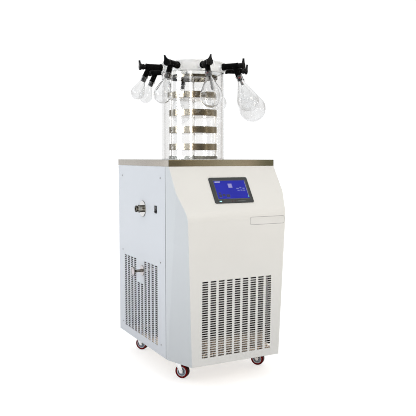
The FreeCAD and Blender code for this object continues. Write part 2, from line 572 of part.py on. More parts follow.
# compressor: welded can with domed ends on a foot plate and four rubber grommets
can = turned([(0, 122.0), (55.0, 124.0), (80.0, 140.0), (85.0, 165.0), (85.0, 228.0), (87.5, 230.0), (87.5, 236.0), (85.0, 238.0),
              (85.0, 320.0), (79.0, 346.0), (58.0, 364.0), (30.0, 371.0), (0, 373.0)])
can.translate(V(CMP[0], CMP[1], 0))
foot = box(CMP[0] - 95, CMP[0] + 95, CMP[1] - 70, CMP[1] + 70, 116.0, 122.5)
stubs = [cyl(5.0, (-60.0, 112.0, 340.0), (0, 0, 1), 34.0), cyl(5.0, (-130.0, 112.0, 340.0), (0, 0, 1), 34.0)]
tbox = box(CMP[0] - 30, CMP[0] + 30, CMP[1] + 75, CMP[1] + 105, 210, 280)
comp = fuse([can, foot, tbox] + stubs)
feet = []
for a in (-1, 1):
    for b in (-1, 1):
        feet.append(turned([(0, 102.0), (13, 102.0), (13, 109.0), (10, 111.0), (10, 116.0), (0, 116.0)]))
        feet[-1].translate(V(CMP[0] + a * 80, CMP[1] + b * 55, 0))
save("compressor", [comp] + feet)

# condenser: finned block between two end plates, with return bends
CX, CY0, CY1, CZ0, CZ1 = 165.0, -405.0, -350.0, 128.0, 470.0
core = box(-CX + 8, CX - 8, CY0 + 2, CY1 - 2, CZ0 + 4, CZ1 - 4)
grooves = []
nf = 52
for k in range(nf):
    x = -CX + 12 + k * (2 * CX - 24) / nf
    grooves.append(box(x, x + 3.4, CY0, CY0 + 16, CZ0, CZ1))
core = core.cut(Part.makeCompound(grooves))
ends = [box(sx * CX - (8 if sx > 0 else 0), sx * CX + (0 if sx > 0 else 8), CY0, CY1, CZ0 - 26.0, CZ1) for sx in (-1, 1)]
bends = []
for sx in (-1, 1):
    for k in range(6):
        z = CZ0 + 40 + k * 50
        t = Part.makeTorus(12.5, 4.5, V(sx * CX, -378.0, z), V(0, 1, 0))
        half = box(min(sx * CX, sx * (CX + 30)), max(sx * CX, sx * (CX + 30)), -400, -350, z - 30, z + 30)
        bends.append(t.common(half))
save("condenser", fuse([core] + ends + bends))

# fan: shroud with three motor arms, motor, and a five-blade fan turning about Y
FY, FZ = -300.0, 299.0
sh = box(-CX, CX, -350.0, -348.5, CZ0, CZ1).cut(cyl(132.0, (0, -360, FZ), (0, 1, 0), 30))
sh = sh.fuse(ring(133.5, 132.0, (0, -348.6, FZ), (0, 1, 0), 42.0))
arms = []
for k in range(3):
    a = math.radians(90 + 120 * k)
    arm = box(0, 133.0, -5, 5, -1.5, 1.5)
    arm.rotate(V(0, 0, 0), V(0, 0, 1), math.degrees(a))
    arms.append(placed(arm, (1, 0, 0), (0, 0, 1), (0, -1, 0), (0, -308.0, FZ)))
hubcut = cyl(20.0, (0, -320, FZ), (0, 1, 0), 30)
sh = sh.fuse(arms).cut(hubcut).fuse(ring(26.0, 20.0, (0, -309.5, FZ), (0, 1, 0), 3.0)).removeSplitter()
save("fan_shroud", sh)
mot = turned([(0, -24.0), (4.0, -24.0), (4.0, 0), (20.0, 0), (20.0, 5.0), (34.0, 5.0), (36.0, 7.0), (36.0, 50.0), (32.0, 56.0), (0, 56.0)])
save("fan_motor", placed(mot, (1, 0, 0), (0, 0, -1), (0, 1, 0), (0, -309.5, FZ)))
hub = ring(24.0, 4.05, (0, 0, -8.0), (0, 0, 1), 16.0)
blades = []
for k in range(5):
    b = box(18.0, 126.0, -30.0, 30.0, -1.0, 1.0)
    b.rotate(V(0, 0, 0), V(1, 0, 0), 28.0)
    b = b.common(ring(126.0, 20.0, (0, 0, -20), (0, 0, 1), 40))
    b.rotate(V(0, 0, 0), V(0, 0, 1), 72.0 * k)
    blades.append(b)
fan = fuse([hub] + blades)
save("condenser_fan", placed(fan, (1, 0, 0), (0, 0, -1), (0, 1, 0), (0, -328.0, FZ)))

# drain hose from the trap's outlet to the drain valve
hose_path = [(0, AXIS_Y, WELL_BOTTOM - 4), (0, AXIS_Y, 560.0), (-130.0, DRAIN_Y, DRAIN_Z), (-HALF_W + 14.0, DRAIN_Y, DRAIN_Z)]
save("drain_hose", pipe(hose_path, 5.5, 40.0).cut(pipe(hose_path, 4.0, 40.0)))

# controller box, and rear power inlet with its socket
cb = box(50, 240, 196, 300, 500, 800)
cb = cb.makeFillet(3, [e for e in cb.Edges if e.BoundBox.ZLength > 100])
glands = [cyl(9.0, (90.0 + 40 * k, 240, 488.0), (0, 0, 1), 12.0) for k in range(3)]
standoffs = [cyl(5.0, (x, 300.0, z), (0, 1, 0), BACK_Y - SHEET - 300.0) for x in (88.0, 205.0) for z in (520.0, 780.0)]
save("controller_box", fuse([cb] + glands + standoffs))
pi = box(INLET_X - 25, INLET_X + 25, BACK_Y, BACK_Y + 3.0, INLET_Z - 15, INLET_Z + 15)
pi = pi.makeFillet(2.0, [e for e in pi.Edges if e.BoundBox.YLength > 2])
pi = pi.fuse(box(INLET_X - 14, INLET_X + 14, BACK_Y - 24, BACK_Y, INLET_Z - 10, INLET_Z + 10))
pi = pi.cut(box(INLET_X - 12, INLET_X + 12, BACK_Y - 16, BACK_Y + 5, INLET_Z - 8, INLET_Z + 8))
pins = [box(INLET_X + dx - 1, INLET_X + dx + 1, BACK_Y - 17, BACK_Y - 6, INLET_Z + dz - 2, INLET_Z + dz + 2) for dx, dz in ((-7, 0), (7, 0), (0, 3))]
save("power_inlet", fuse([pi] + pins))

# ---------------------------------------------------------------- manifold valves and flasks
R0 = TUBE_RO + 8.2


def at_leg(shape, tilt):
    """From the leg's frame (z along the leg, away from the barrel)."""
    tl = math.radians(tilt)
    z = (math.sin(tl), 0, -math.cos(tl))
    y = (0, 1, 0)
    x = V(*y).cross(V(*z))
    return placed(shape, (x.x, x.y, x.z), y, z, (LEG_AT, 0, 0))


def valve_body(tilt):
    b = turned([(10.0, R0), (10.0, 187.0), (5.0, 187.0), (5.0, 216.0), (11.05, 216.0), (11.05, 240.0), (16.0, 240.0), (16.0, 235.0),
                (15.0, 234.0), (15.0, 172.0), (16.8, 170.0), (16.8, R0 + 1), (15.8, R0)])
    b = placed(b, (0, 1, 0), (0, 0, 1), (1, 0, 0), (0, 0, 0))
    leg = at_leg(turned([(0, 0), (12.6, 0), (12.6, LIP_AT - 3.5), (13.8, LIP_AT - 2.5), (13.8, LIP_AT), (11.5, LIP_AT), (11.5, LEG_L - 3), (10.0, LEG_L), (0, LEG_L)]), tilt)
    through = at_leg(cyl(5.0, (0, 0, -2), (0, 0, 1), LEG_L + 5), tilt)
    inside = cyl(11.05, (216.0, 0, 0), (1, 0, 0), 30).fuse(cyl(5.0, (187.0, 0, 0), (1, 0, 0), 38)).fuse(cyl(10.0, (R0 - 1, 0, 0), (1, 0, 0), 187.0 - R0 + 1))
    past_end = cyl(17.5, (240.0, 0, 0), (1, 0, 0), 30.0)
    return b.fuse(leg).cut(inside).cut(through).cut(past_end).removeSplitter()


def valve_knob(out, pointer):
    """Plug with a channel towards the leg, and a disc with a pointer that stands out by `out`."""
    k = turned([(0, 217.0), (11.0, 217.0), (11.0, 240.4 + out), (13.6, 240.4 + out), (13.6, 246.0 + out), (12.0, 248.0 + out),
                (12.0, 251.0 + out), (14.0, 254.0 + out), (14.0, 262.0 + out), (13.0, 263.0 + out), (0, 263.0 + out)])
    k = placed(k, (0, 1, 0), (0, 0, 1), (1, 0, 0), (0, 0, 0))
    x0 = 254.0 + out
    disc = cyl(16.0, (x0, 0, 0), (1, 0, 0), 8.0)
    spike = poly_prism([(x0, -13.8, 8.0), (x0, -8.0, 15.0), (x0, -4.0, 25.0), (x0, -2.6, 34.0), (x0, 2.6, 34.0), (x0, 4.0, 25.0),
                        (x0, 8.0, 15.0), (x0, 13.8, 8.0)], (8.0, 0, 0))
    k = k.fuse(disc).fuse(spike).cut(cyl(2.5, (x0 + 4.0, 0, -6.0), (1, 0, 0), 8))
    k.rotate(V(0, 0, 0), V(1, 0, 0), -pointer)
    channel = cyl(4.5, (216.0, 0, 0), (1, 0, 0), 12.0).fuse(cyl(4.5, (228.0, 0, 0), (0, 0, -1), 12.0))
    return k.cut(channel).removeSplitter()


save("valve_bodies", [at_port(valve_body(v[1]), a, v[0], v[2]) for a, v in zip(PORT_AZ, VALVE_SET)])
for i, (a, v) in enumerate(zip(PORT_AZ, VALVE_SET)):
    save("valve_knob_%d" % (i + 1), at_port(valve_knob(v[3], v[4] + v[2]), a, v[0], v[2]))


def flask_profile(rb, tc, g):
    """Closed outline (r, t) of the glass wall: bead, neck, tangent cone, round bulb."""
    def side(off):
        rn = 14.0 - off
        R = rb - off
        tn = LIP_AT + 28.0
        # neck to cone: tangent from (rn, tn) to the circle (0, tc, R)
        dx, dt = rn, tn - tc
        dist = math.hypot(dx, dt)
        base_ang = math.atan2(dt, dx)
        a = base_ang + math.acos(R / dist)
        b = base_ang - math.acos(R / dist)
        cand = [(R * math.cos(q), tc + R * math.sin(q), q) for q in (a, b)]
        c = max(cand, key=lambda q: q[0])
        return rn, tn, R, c
    rn, tn, R, c = side(0.0)
    ri, ti, Ri, ci = side(g)
    P = lambda r, t: V(r, 0, t)
    edges = []

    def line(a, b):
        if (b - a).Length > 1e-6:
            edges.append(Part.LineSegment(a, b).toShape())
    # outer, from the mouth down to the bottom
    mouth_o = [P(13.2, LIP_AT), P(15.4, LIP_AT + 0.8), P(16.2, LIP_AT + 2.4), P(15.6, LIP_AT + 4.2), P(rn, LIP_AT + 6.0)]
    for a, b in zip(mouth_o[:-1], mouth_o[1:]):
        line(a, b)
    line(mouth_o[-1], P(rn, tn))
    line(P(rn, tn), P(c[0], c[1]))
    m = (c[2] + math.pi / 2) / 2
    edges.append(Part.Arc(P(c[0], c[1]), P(R * math.cos(m), tc + R * math.sin(m)), P(0, tc + R)).toShape())
    line(P(0, tc + R), P(0, tc + Ri))
    m = (ci[2] + math.pi / 2) / 2
    edges.append(Part.Arc(P(0, tc + Ri), P(Ri * math.cos(m), tc + Ri * math.sin(m)), P(ci[0], ci[1])).toShape())
    line(P(ci[0], ci[1]), P(11.6, ti))
    line(P(11.6, ti), P(11.6, LIP_AT))
    line(P(11.6, LIP_AT), mouth_o[0])
    return Part.Face(Part.Wire(edges)).revolve(V(0, 0, 0), V(0, 0, 1), 360)


for name, (rb, tc, g, ports) in FLASKS.items():
    fl = flask_profile(rb, tc, g)
    save(name, [at_port(at_leg(fl, VALVE_SET[i][1]), PORT_AZ[i], VALVE_SET[i][0], VALVE_SET[i][2]) for i in ports])

# ---------------------------------------------------------------- casters
AXLE_Z = WHEEL_R
td_ = math.radians(TRAIL_DIR)
fdir = (math.cos(td_), math.sin(td_), 0)
sdir = (-math.sin(td_), math.cos(td_), 0)


def at_caster(shape, pivot):
    """From the caster's frame: x along the trail, y along the axle, z up from the floor."""
    return placed(shape, fdir, sdir, (0, 0, 1), (pivot[0], pivot[1], 0))


plates = []
for p in CASTERS.values():
    pl = box(-32, 32, -32, 32, CAB_BOTTOM - 3.0, CAB_BOTTOM)
    pl = pl.makeFillet(5.0, [e for e in pl.Edges if e.BoundBox.ZLength > 2])
    for a in (-1, 1):
        for b in (-1, 1):
            pl = pl.cut(cyl(3.2, (a * 24, b * 24, CAB_BOTTOM - 5), (0, 0, 1), 8))
            head = turned([(0, 92.4), (4.6, 92.4), (5.2, 93.2), (5.2, 97.0), (3.1, 97.0), (3.1, 99.9), (0, 99.9)])
            head.translate(V(a * 24, b * 24, 0))
            pl = pl.fuse(head)
    pin = turned([(0, 81.0), (8.0, 81.0), (9.0, 82.0), (9.0, 85.0), (6.0, 85.0), (6.0, CAB_BOTTOM - 3.0), (0, CAB_BOTTOM - 3.0)])
    pl = pl.fuse(pin)
    pl.translate(V(p[0], p[1], 0))
    plates.append(pl)
save("caster_plates", plates)


def fork():
    crown = turned([(6.05, 85.4), (6.05, 96.6), (14.0, 96.6), (17.5, 95.0), (19.0, 91.0), (19.0, 85.4)])
    bridge = box(-2.0, 22.0, -16.6, 16.6, 78.0, 80.4)
    legs = []
    for sy in (-1, 1):
        y0, y1 = sorted((sy * 14.2, sy * 16.6))
        w = [(-14.0, y0, 87.8), (16.0, y0, 87.8), (TRAIL + 9.0, y0, AXLE_Z + 3.0), (TRAIL + 6.0, y0, AXLE_Z - 7.0),
             (TRAIL - 6.0, y0, AXLE_Z - 7.0), (TRAIL - 10.5, y0, AXLE_Z + 3.0)]
        legs.append(poly_prism(w, (0, y1 - y0, 0)))
    top = box(-14.0, 16.0, -16.6, 16.6, 85.4, 87.8).cut(cyl(6.05, (0, 0, 80), (0, 0, 1), 20))
    axle = cyl(4.0, (TRAIL, -18.6, AXLE_Z), (0, 1, 0), 37.2)
    heads = [cyl(6.5, (TRAIL, -20.6, AXLE_Z), (0, 1, 0), 4.0), cyl(6.5, (TRAIL, 16.6, AXLE_Z), (0, 1, 0), 4.0)]
    return fuse([crown, top] + legs + [axle] + heads)


def hub_():
    h = turned([(4.05, -12.5), (7.5, -12.5), (7.5, -9.0), (10.0, -6.5), (17.0, -6.5), (19.5, -12.0), (22.0, -12.0),
                (22.0, 12.0), (19.5, 12.0), (17.0, 6.5), (10.0, 6.5), (7.5, 9.0), (7.5, 12.5), (4.05, 12.5)])
    return placed(h, (1, 0, 0), (0, 0, -1), (0, 1, 0), (TRAIL, 0, AXLE_Z))


def tread_():
    h = turned([(22.0, -12.5), (29.5, -13.0), (31.0, -11.0), (31.5, -7.0), (31.5, 7.0), (31.0, 11.0), (29.5, 13.0), (22.0, 12.5)])
    return placed(h, (1, 0, 0), (0, 0, -1), (0, 1, 0), (TRAIL, 0, AXLE_Z))


fk_, hb_, tr_ = fork(), hub_(), tread_()
for k, p in CASTERS.items():
    save("caster_fork_" + k, at_caster(fk_, p))
    save("wheel_hub_" + k, at_caster(hb_, p))
    save("wheel_tread_" + k, at_caster(tr_, p))

lo = [min(getattr(b, a) for _, b in NODES) for a in ("XMin", "YMin", "ZMin")]
hi = [max(getattr(b, a) for _, b in NODES) for a in ("XMax", "YMax", "ZMax")]
print("nodes", len(NODES), "box", [round(v, 2) for v in lo], [round(v, 2) for v in hi],
      "centre", [round((a + b) / 2, 2) for a, b in zip(lo, hi)])
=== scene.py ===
import math

import bmesh
import bpy
from mathutils import Matrix, Vector


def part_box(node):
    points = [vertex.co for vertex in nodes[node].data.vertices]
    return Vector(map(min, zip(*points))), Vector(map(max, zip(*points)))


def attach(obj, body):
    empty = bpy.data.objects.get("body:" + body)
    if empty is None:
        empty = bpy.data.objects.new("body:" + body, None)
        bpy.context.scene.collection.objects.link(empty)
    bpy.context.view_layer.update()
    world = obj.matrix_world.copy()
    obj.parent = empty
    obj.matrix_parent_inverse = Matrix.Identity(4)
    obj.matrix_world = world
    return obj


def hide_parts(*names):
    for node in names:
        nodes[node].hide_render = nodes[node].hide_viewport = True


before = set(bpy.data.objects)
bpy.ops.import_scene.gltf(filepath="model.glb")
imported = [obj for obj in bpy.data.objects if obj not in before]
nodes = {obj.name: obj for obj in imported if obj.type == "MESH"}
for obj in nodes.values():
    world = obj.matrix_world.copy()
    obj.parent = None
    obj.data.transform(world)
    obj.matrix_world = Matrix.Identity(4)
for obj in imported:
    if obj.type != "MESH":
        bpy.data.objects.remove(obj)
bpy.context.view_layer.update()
scene = bpy.context.scene

# ------------------------------------------------------------------ shared dimensions, metres, in the row frame
SX, SY = 0.02537, -0.04817            # cabinet centre line to row frame
AXIS = Vector((-SX, -0.010 - SY, 0.0))   # chamber, manifold and trap axis
PORT_Z = 1.4254
PORT_AZ = [-10.0, 34.5, 77.2, 126.0, 167.0, -150.1, -96.7, -52.6]
# push along the port, leg tilt, twist, knob stand-out, pointer angle: as the valves sit on their ports
VALVE_SET = [
    (5.3, 28.0, -1.9, 3.0, 10.0),
    (2.4, 22.3, 2.1, 9.0, 4.0),
    (5.0, 24.2, 2.8, 9.0, -30.0),
    (4.0, 25.0, 0.0, 2.0, 20.0),
    (3.2, 25.0, 0.0, 3.0, -25.0),
    (2.4, 26.3, 4.9, 3.2, 0.0),
    (-3.3, 23.2, -8.5, 9.0, -26.0),
    (0.7, 21.6, -5.2, 3.9, -21.0),
]
FLASKS = {
    "flasks_100ml": (33.0, 131.3, 2.0, [5, 6]),
    "flasks_250ml": (41.5, 155.6, 2.2, [3, 7]),
    "flasks_500ml": (51.5, 176.5, 2.4, [0, 1]),
    "flasks_1000ml": (66.0, 199.7, 2.6, [2, 4]),
}
LEG_AT, LIP_AT = 223.0, 50.0
FLOOR_GLOW = 0.62
CEILING = (1.12, 1.12, 1.12)
WALLS = [
    (0.000, (0.46, 0.40, 0.32)), (0.028, (0.40, 0.34, 0.26)), (0.052, (0.12, 0.095, 0.07)), (0.080, (0.16, 0.13, 0.10)), (0.110, (0.30, 0.29, 0.28)),
    (0.145, (0.30, 0.33, 0.37)), (0.180, (0.42, 0.46, 0.52)), (0.240, (0.46, 0.52, 0.60)), (0.290, (0.50, 0.55, 0.62)), (0.335, (0.32, 0.32, 0.32)),
    (0.365, (0.86, 0.88, 0.90)), (0.405, (0.80, 0.80, 0.80)), (0.432, (0.16, 0.14, 0.12)), (0.455, (0.80, 0.80, 0.80)), (0.500, (1.0, 1.0, 1.0)),
    (0.650, (1.0, 1.0, 1.0)), (0.685, (0.42, 0.38, 0.33)), (0.715, (0.22, 0.19, 0.15)), (0.755, (0.56, 0.53, 0.48)), (0.800, (0.30, 0.26, 0.21)),
    (0.848, (0.34, 0.295, 0.22)), (0.882, (0.30, 0.26, 0.19)), (0.918, (0.115, 0.095, 0.062)), (0.952, (0.26, 0.22, 0.155)), (0.980, (0.34, 0.29, 0.215)),
]


def row(x, y, z):
    """Cabinet millimetres to row-frame metres."""
    return Vector((x / 1000 - SX, y / 1000 - SY, z / 1000))


# ------------------------------------------------------------------ node-material helpers
class Mat:
    """One procedural material built round a Principled shader."""

    def __init__(self, name, color, rough=0.5, metal=0.0, **sockets):
        self.m = bpy.data.materials.new(name)
        self.m.use_nodes = True
        self.nt = self.m.node_tree
        self.b = self.nt.nodes["Principled BSDF"]
        self.out = self.nt.nodes["Material Output"]
        self.b.inputs["Base Color"].default_value = (*color, 1)
        self.b.inputs["Roughness"].default_value = rough
        self.b.inputs["Metallic"].default_value = metal
        for k, v in sockets.items():
            self.b.inputs[k.replace("_", " ")].default_value = v
        self.m.diffuse_color = (*color, 1)
        self.tc = self.nt.nodes.new("ShaderNodeTexCoord")
        self.pos = self.tc.outputs["Object"]
        self.normal_in = None

    def n(self, kind, **props):
        x = self.nt.nodes.new("ShaderNode" + kind)
        for k, v in props.items():
            setattr(x, k, v)
        return x

    def link(self, a, b):
        self.nt.links.new(a, b)

    def mapped(self, scale=(1, 1, 1), rot=(0, 0, 0), loc=(0, 0, 0)):
        mp = self.n("Mapping")
        mp.inputs["Scale"].default_value = scale
        mp.inputs["Rotation"].default_value = rot
        mp.inputs["Location"].default_value = loc
        self.link(self.pos, mp.inputs["Vector"])
        return mp.outputs["Vector"]

    def noise(self, scale, detail=3.0, rough=0.5, vec=None, distortion=0.0):
        t = self.n("TexNoise")
        t.inputs["Scale"].default_value = scale
        t.inputs["Detail"].default_value = detail
        t.inputs["Roughness"].default_value = rough
        t.inputs["Distortion"].default_value = distortion
        self.link(vec if vec is not None else self.pos, t.inputs["Vector"])
        return t.outputs["Fac"]

    def remap(self, value, a, b, lo=0.0, hi=1.0):
        r = self.n("MapRange")
        r.inputs["From Min"].default_value = a
        r.inputs["From Max"].default_value = b
        r.inputs["To Min"].default_value = lo
        r.inputs["To Max"].default_value = hi
        self.link(value, r.inputs["Value"])
        return r.outputs["Result"]

    def math(self, op, a, b=None, clamp=False):
        x = self.n("Math", operation=op, use_clamp=clamp)
        for i, v in enumerate((a, b)):
            if v is None:
                continue
            if isinstance(v, (int, float)):
                x.inputs[i].default_value = v
            else:
                self.link(v, x.inputs[i])
        return x.outputs[0]

    def mix(self, fac, c1, c2):
        x = self.n("Mix", data_type="RGBA")
        if isinstance(fac, (int, float)):
            x.inputs["Factor"].default_value = fac
        else:
            self.link(fac, x.inputs["Factor"])
        for s, c in ((6, c1), (7, c2)):
            if isinstance(c, tuple):
                x.inputs[s].default_value = (*c, 1) if len(c) == 3 else c
            else:
                self.link(c, x.inputs[s])
        return x.outputs[2]

    def sep(self, vec=None):
        s = self.n("SeparateXYZ")
        self.link(vec if vec is not None else self.pos, s.inputs[0])
        return s.outputs

    def color(self, out):
        self.link(out, self.b.inputs["Base Color"])

    def rough(self, out):
        self.link(out, self.b.inputs["Roughness"])

    def bump(self, height, distance, strength=1.0):
        x = self.n("Bump")
        x.inputs["Distance"].default_value = distance
        x.inputs["Strength"].default_value = strength
        self.link(height, x.inputs["Height"])
        if self.normal_in is not None:
            self.link(self.normal_in, x.inputs["Normal"])
        self.normal_in = x.outputs["Normal"]
        self.link(self.normal_in, self.b.inputs["Normal"])
        return self

    def vary(self, base, other, scale, lo=0.35, hi=0.65, detail=3.0, vec=None):
        """Base colour that wanders between two shades."""
        f = self.remap(self.noise(scale, detail, vec=vec), lo, hi)
        out = self.mix(f, base, other)
        self.color(out)
        return out


def see_through(m, share=1.0):
    """Lets light through a clear piece, so that what stands behind it is lit as it would be."""
    lp = m.n("LightPath")
    tr = m.n("BsdfTransparent")
    tr.inputs["Color"].default_value = (0.97, 0.98, 0.98, 1)
    mx = m.n("MixShader")
    f = m.math("MULTIPLY", lp.outputs["Is Shadow Ray"], share)
    m.link(f, mx.inputs[0])
    m.link(m.b.outputs[0], mx.inputs[1])
    m.link(tr.outputs[0], mx.inputs[2])
    m.link(mx.outputs[0], m.out.inputs["Surface"])


def smooth_box_mask(m, x, y, cx, cy, hx, hy, r, edge):
    """Signed distance to a rounded rectangle, below 0 inside it and above 0 outside: the distance is in the units of x
    and y.
    """
    ax = m.math("SUBTRACT", m.math("ABSOLUTE", m.math("SUBTRACT", x, cx)), hx - r)
    ay = m.math("SUBTRACT", m.math("ABSOLUTE", m.math("SUBTRACT", y, cy)), hy - r)
    qx = m.math("MAXIMUM", ax, 0.0)
    qy = m.math("MAXIMUM", ay, 0.0)
    d = m.math("SQRT", m.math("ADD", m.math("MULTIPLY", qx, qx), m.math("MULTIPLY", qy, qy)))
    d = m.math("ADD", d, m.math("MINIMUM", m.math("MAXIMUM", ax, ay), 0.0))
    return m.math("SUBTRACT", d, r)


# ------------------------------------------------------------------ materials
def powder_coat(name, tint, deep, side_light_tint):
    """Satin powder coat outside, with fine orange peel. Painted light and shade: faces turned sideways take a cooler
    tint, standing for the cool light from the left; the paint is darker towards the bottom, most on faces turned
    sideways, standing for the shade low down; faces turned into the cabinet are painted near black, standing for the
    shade inside it.
    """
    m = Mat(name, tint, 0.42, Specular_IOR_Level=0.42, Coat_Weight=0.06, Coat_Roughness=0.25)
    big = m.remap(m.noise(3.2, 2.0), 0.3, 0.7)
    paint = m.mix(big, tint, deep)
    speck = m.remap(m.noise(1400.0, 1.0), 0.70, 0.80, 0.0, 0.10)
    paint = m.mix(speck, paint, (deep[0] * 0.72, deep[1] * 0.72, deep[2] * 0.72))
    # which way the face looks from the middle of the cabinet
    g = m.n("VectorMath", operation="SUBTRACT")
    m.link(m.pos, g.inputs[0])
    g.inputs[1].default_value = (-SX, 0.02 - SY, 0.53)
    d = m.n("VectorMath", operation="DOT_PRODUCT")
    m.link(g.outputs[0], d.inputs[0])
    m.link(m.tc.outputs["Normal"], d.inputs[1])
    # painted shade: faces turned into the cabinet are painted near black, standing for the shade inside it
    inside = m.remap(d.outputs["Value"], -0.03, -0.09)
    # painted light: faces turned sideways take a cooler tint, standing for the cool light from the left
    turned = m.remap(m.math("ABSOLUTE", m.sep(m.tc.outputs["Normal"])[0]), 0.35, 0.75)
    paint = m.mix(turned, paint, side_light_tint)
    # painted shade: darker towards the bottom, most on faces turned sideways
    low = m.math("MULTIPLY", m.remap(m.sep()[2], 0.62, 0.10), m.remap(turned, 0.0, 1.0, 0.45, 1.0))
    paint = m.mix(low, paint, tuple(c * 0.80 for c in side_light_tint))
    painted_inner_shade = m.mix(m.remap(m.noise(60.0, 2.0), 0.35, 0.65), (0.006, 0.006, 0.0065), (0.014, 0.0135, 0.013))
    m.color(m.mix(inside, paint, painted_inner_shade))
    m.rough(m.mix(inside, m.remap(m.noise(420.0, 2.0), 0.3, 0.7, 0.36, 0.47), (0.8, 0.8, 0.8)))
    m.bump(m.noise(850.0, 2.0, 0.6), 0.00005, 0.35)
    m.bump(m.noise(9.0, 1.0), 0.0006, 0.10)
    return m


def brushed(name, a, b, rough, along="x", grain=1.0, lines=0.00002, aniso=0.5):
    """Brushed metal with its grain along one axis of the frame."""
    m = Mat(name, a, rough, 1.0, Anisotropic=aniso)
    sc = {"x": (4, 900, 900), "y": (900, 4, 900), "z": (900, 900, 5)}[along]
    v = m.mapped(tuple(s * grain for s in sc))
    f = m.noise(1.0, 4.0, 0.65, vec=v)
    g = m.remap(m.noise(2.6, 3.0), 0.3, 0.7)
    m.color(m.mix(m.remap(f, 0.30, 0.70), m.mix(g, a, b), tuple(0.80 * c for c in b)))
    m.rough(m.remap(f, 0.25, 0.75, rough - 0.07, rough + 0.11))
    m.bump(f, lines, 0.5)
    return m


def ringed_metal(name, a, b, rough, axis="z", centre=(0, 0, 0), pitch=0.0009, edge=None, face=(0.84, 0.84, 0.83)):
    """Turned or spun metal: fine rings round an axis through a point. With edge, painted reflections: dark sides and
    pale flat end faces.
    """
    m = Mat(name, a, rough, 1.0, Anisotropic=0.35)
    s = m.sep(m.mapped(loc=tuple(-c for c in centre)))
    t = s[{"x": 0, "y": 1, "z": 2}[axis]]
    o = [s[i] for i in range(3) if i != {"x": 0, "y": 1, "z": 2}[axis]]
    r = m.math("SQRT", m.math("ADD", m.math("MULTIPLY", o[0], o[0]), m.math("MULTIPLY", o[1], o[1])))
    c = m.n("CombineXYZ")
    m.link(m.math("MULTIPLY", r, 1 / pitch), c.inputs[0])
    m.link(m.math("MULTIPLY", t, 1 / pitch), c.inputs[1])
    f = m.noise(1.0, 3.0, 0.6, vec=c.outputs[0])
    tone = m.mix(m.remap(f, 0.3, 0.7), a, b)
    if edge:
        # painted reflection: a polished round is painted dark at its sides, standing for the dark of the room
        lw = m.n("LayerWeight")
        lw.inputs["Blend"].default_value = 0.5
        tone = m.mix(m.remap(lw.outputs["Facing"], 0.07, 0.30), tone, edge)
        # while its flat end faces are painted pale, a painted reflection of the white walls
        flat = m.math("ABSOLUTE", m.sep(m.tc.outputs["Normal"])[{"x": 0, "y": 1, "z": 2}[axis]])
        tone = m.mix(m.remap(flat, 0.80, 0.97), tone, face)
    m.color(tone)
    m.rough(m.remap(f, 0.2, 0.8, rough - 0.03, rough + 0.06))
    m.bump(f, 0.00001, 0.5)
    return m


def plastic(name, color, rough=0.4, fine=1300.0, depth=0.00004, spec=0.5):
    m = Mat(name, color, rough, Specular_IOR_Level=spec)
    lighter = tuple(min(1.0, c * 1.22 + 0.004) for c in color)
    m.vary(color, lighter, 14.0)
    m.rough(m.remap(m.noise(70.0, 3.0), 0.3, 0.7, max(rough - 0.06, 0.03), rough + 0.08))
    m.bump(m.noise(fine, 2.0, 0.6), depth, 0.4)
    return m


def rubber(name, color, rough=0.55, spec=0.16, sheen=0.01):
    """Moulded rubber: fine matt grain with faint bloom."""
    m = Mat(name, color, rough, Specular_IOR_Level=spec, Sheen_Weight=sheen, Sheen_Roughness=0.5)
    bloom = m.remap(m.noise(26.0, 4.0, 0.62), 0.48, 0.78, 0.0, 0.5)
    m.color(m.mix(bloom, color, tuple(c * 1.9 + 0.006 for c in color)))
    m.rough(m.remap(m.noise(110.0, 3.0), 0.3, 0.7, rough - 0.12, rough + 0.10))
    m.bump(m.noise(1500.0, 2.0), 0.00005, 0.45)
    m.bump(m.noise(60.0, 2.0), 0.00025, 0.22)
    return m


def painted(name, color, rough=0.35, spec=0.5, dust=0.0):
    m = Mat(name, color, rough, Specular_IOR_Level=spec)
    c = m.mix(m.remap(m.noise(9.0, 3.0), 0.3, 0.7), color, tuple(v * 0.86 for v in color))
    if dust:
        n = m.sep(m.tc.outputs["Normal"])
        up = m.math("MULTIPLY", m.math("MAXIMUM", n[2], 0.0), m.remap(m.noise(40.0, 4.0), 0.4, 0.7, 0.0, dust))
        c = m.mix(up, c, (0.34, 0.32, 0.29))
    m.color(c)
    m.rough(m.remap(m.noise(80.0, 3.0), 0.3, 0.7, rough - 0.06, rough + 0.09))
    m.bump(m.noise(700.0, 2.0), 0.00006, 0.35)
    return m


def zinc(name, a, b, rough=0.30):
    """Bright zinc plate: soft crystal blotches and light handling marks."""
    m = Mat(name, a, rough, 1.0)
    v = m.n("TexVoronoi")
    v.inputs["Scale"].default_value = 130.0
    m.link(m.pos, v.inputs["Vector"])
    f = m.mix(0.5, v.outputs["Color"], m.noise(60.0, 3.0))
    bw = m.n("RGBToBW")
    m.link(f, bw.inputs[0])
    m.color(m.mix(m.remap(bw.outputs[0], 0.3, 0.7), a, b))
    m.rough(m.remap(bw.outputs[0], 0.25, 0.75, rough - 0.07, rough + 0.12))
    m.bump(m.noise(500.0, 2.0), 0.00003, 0.4)
    return m


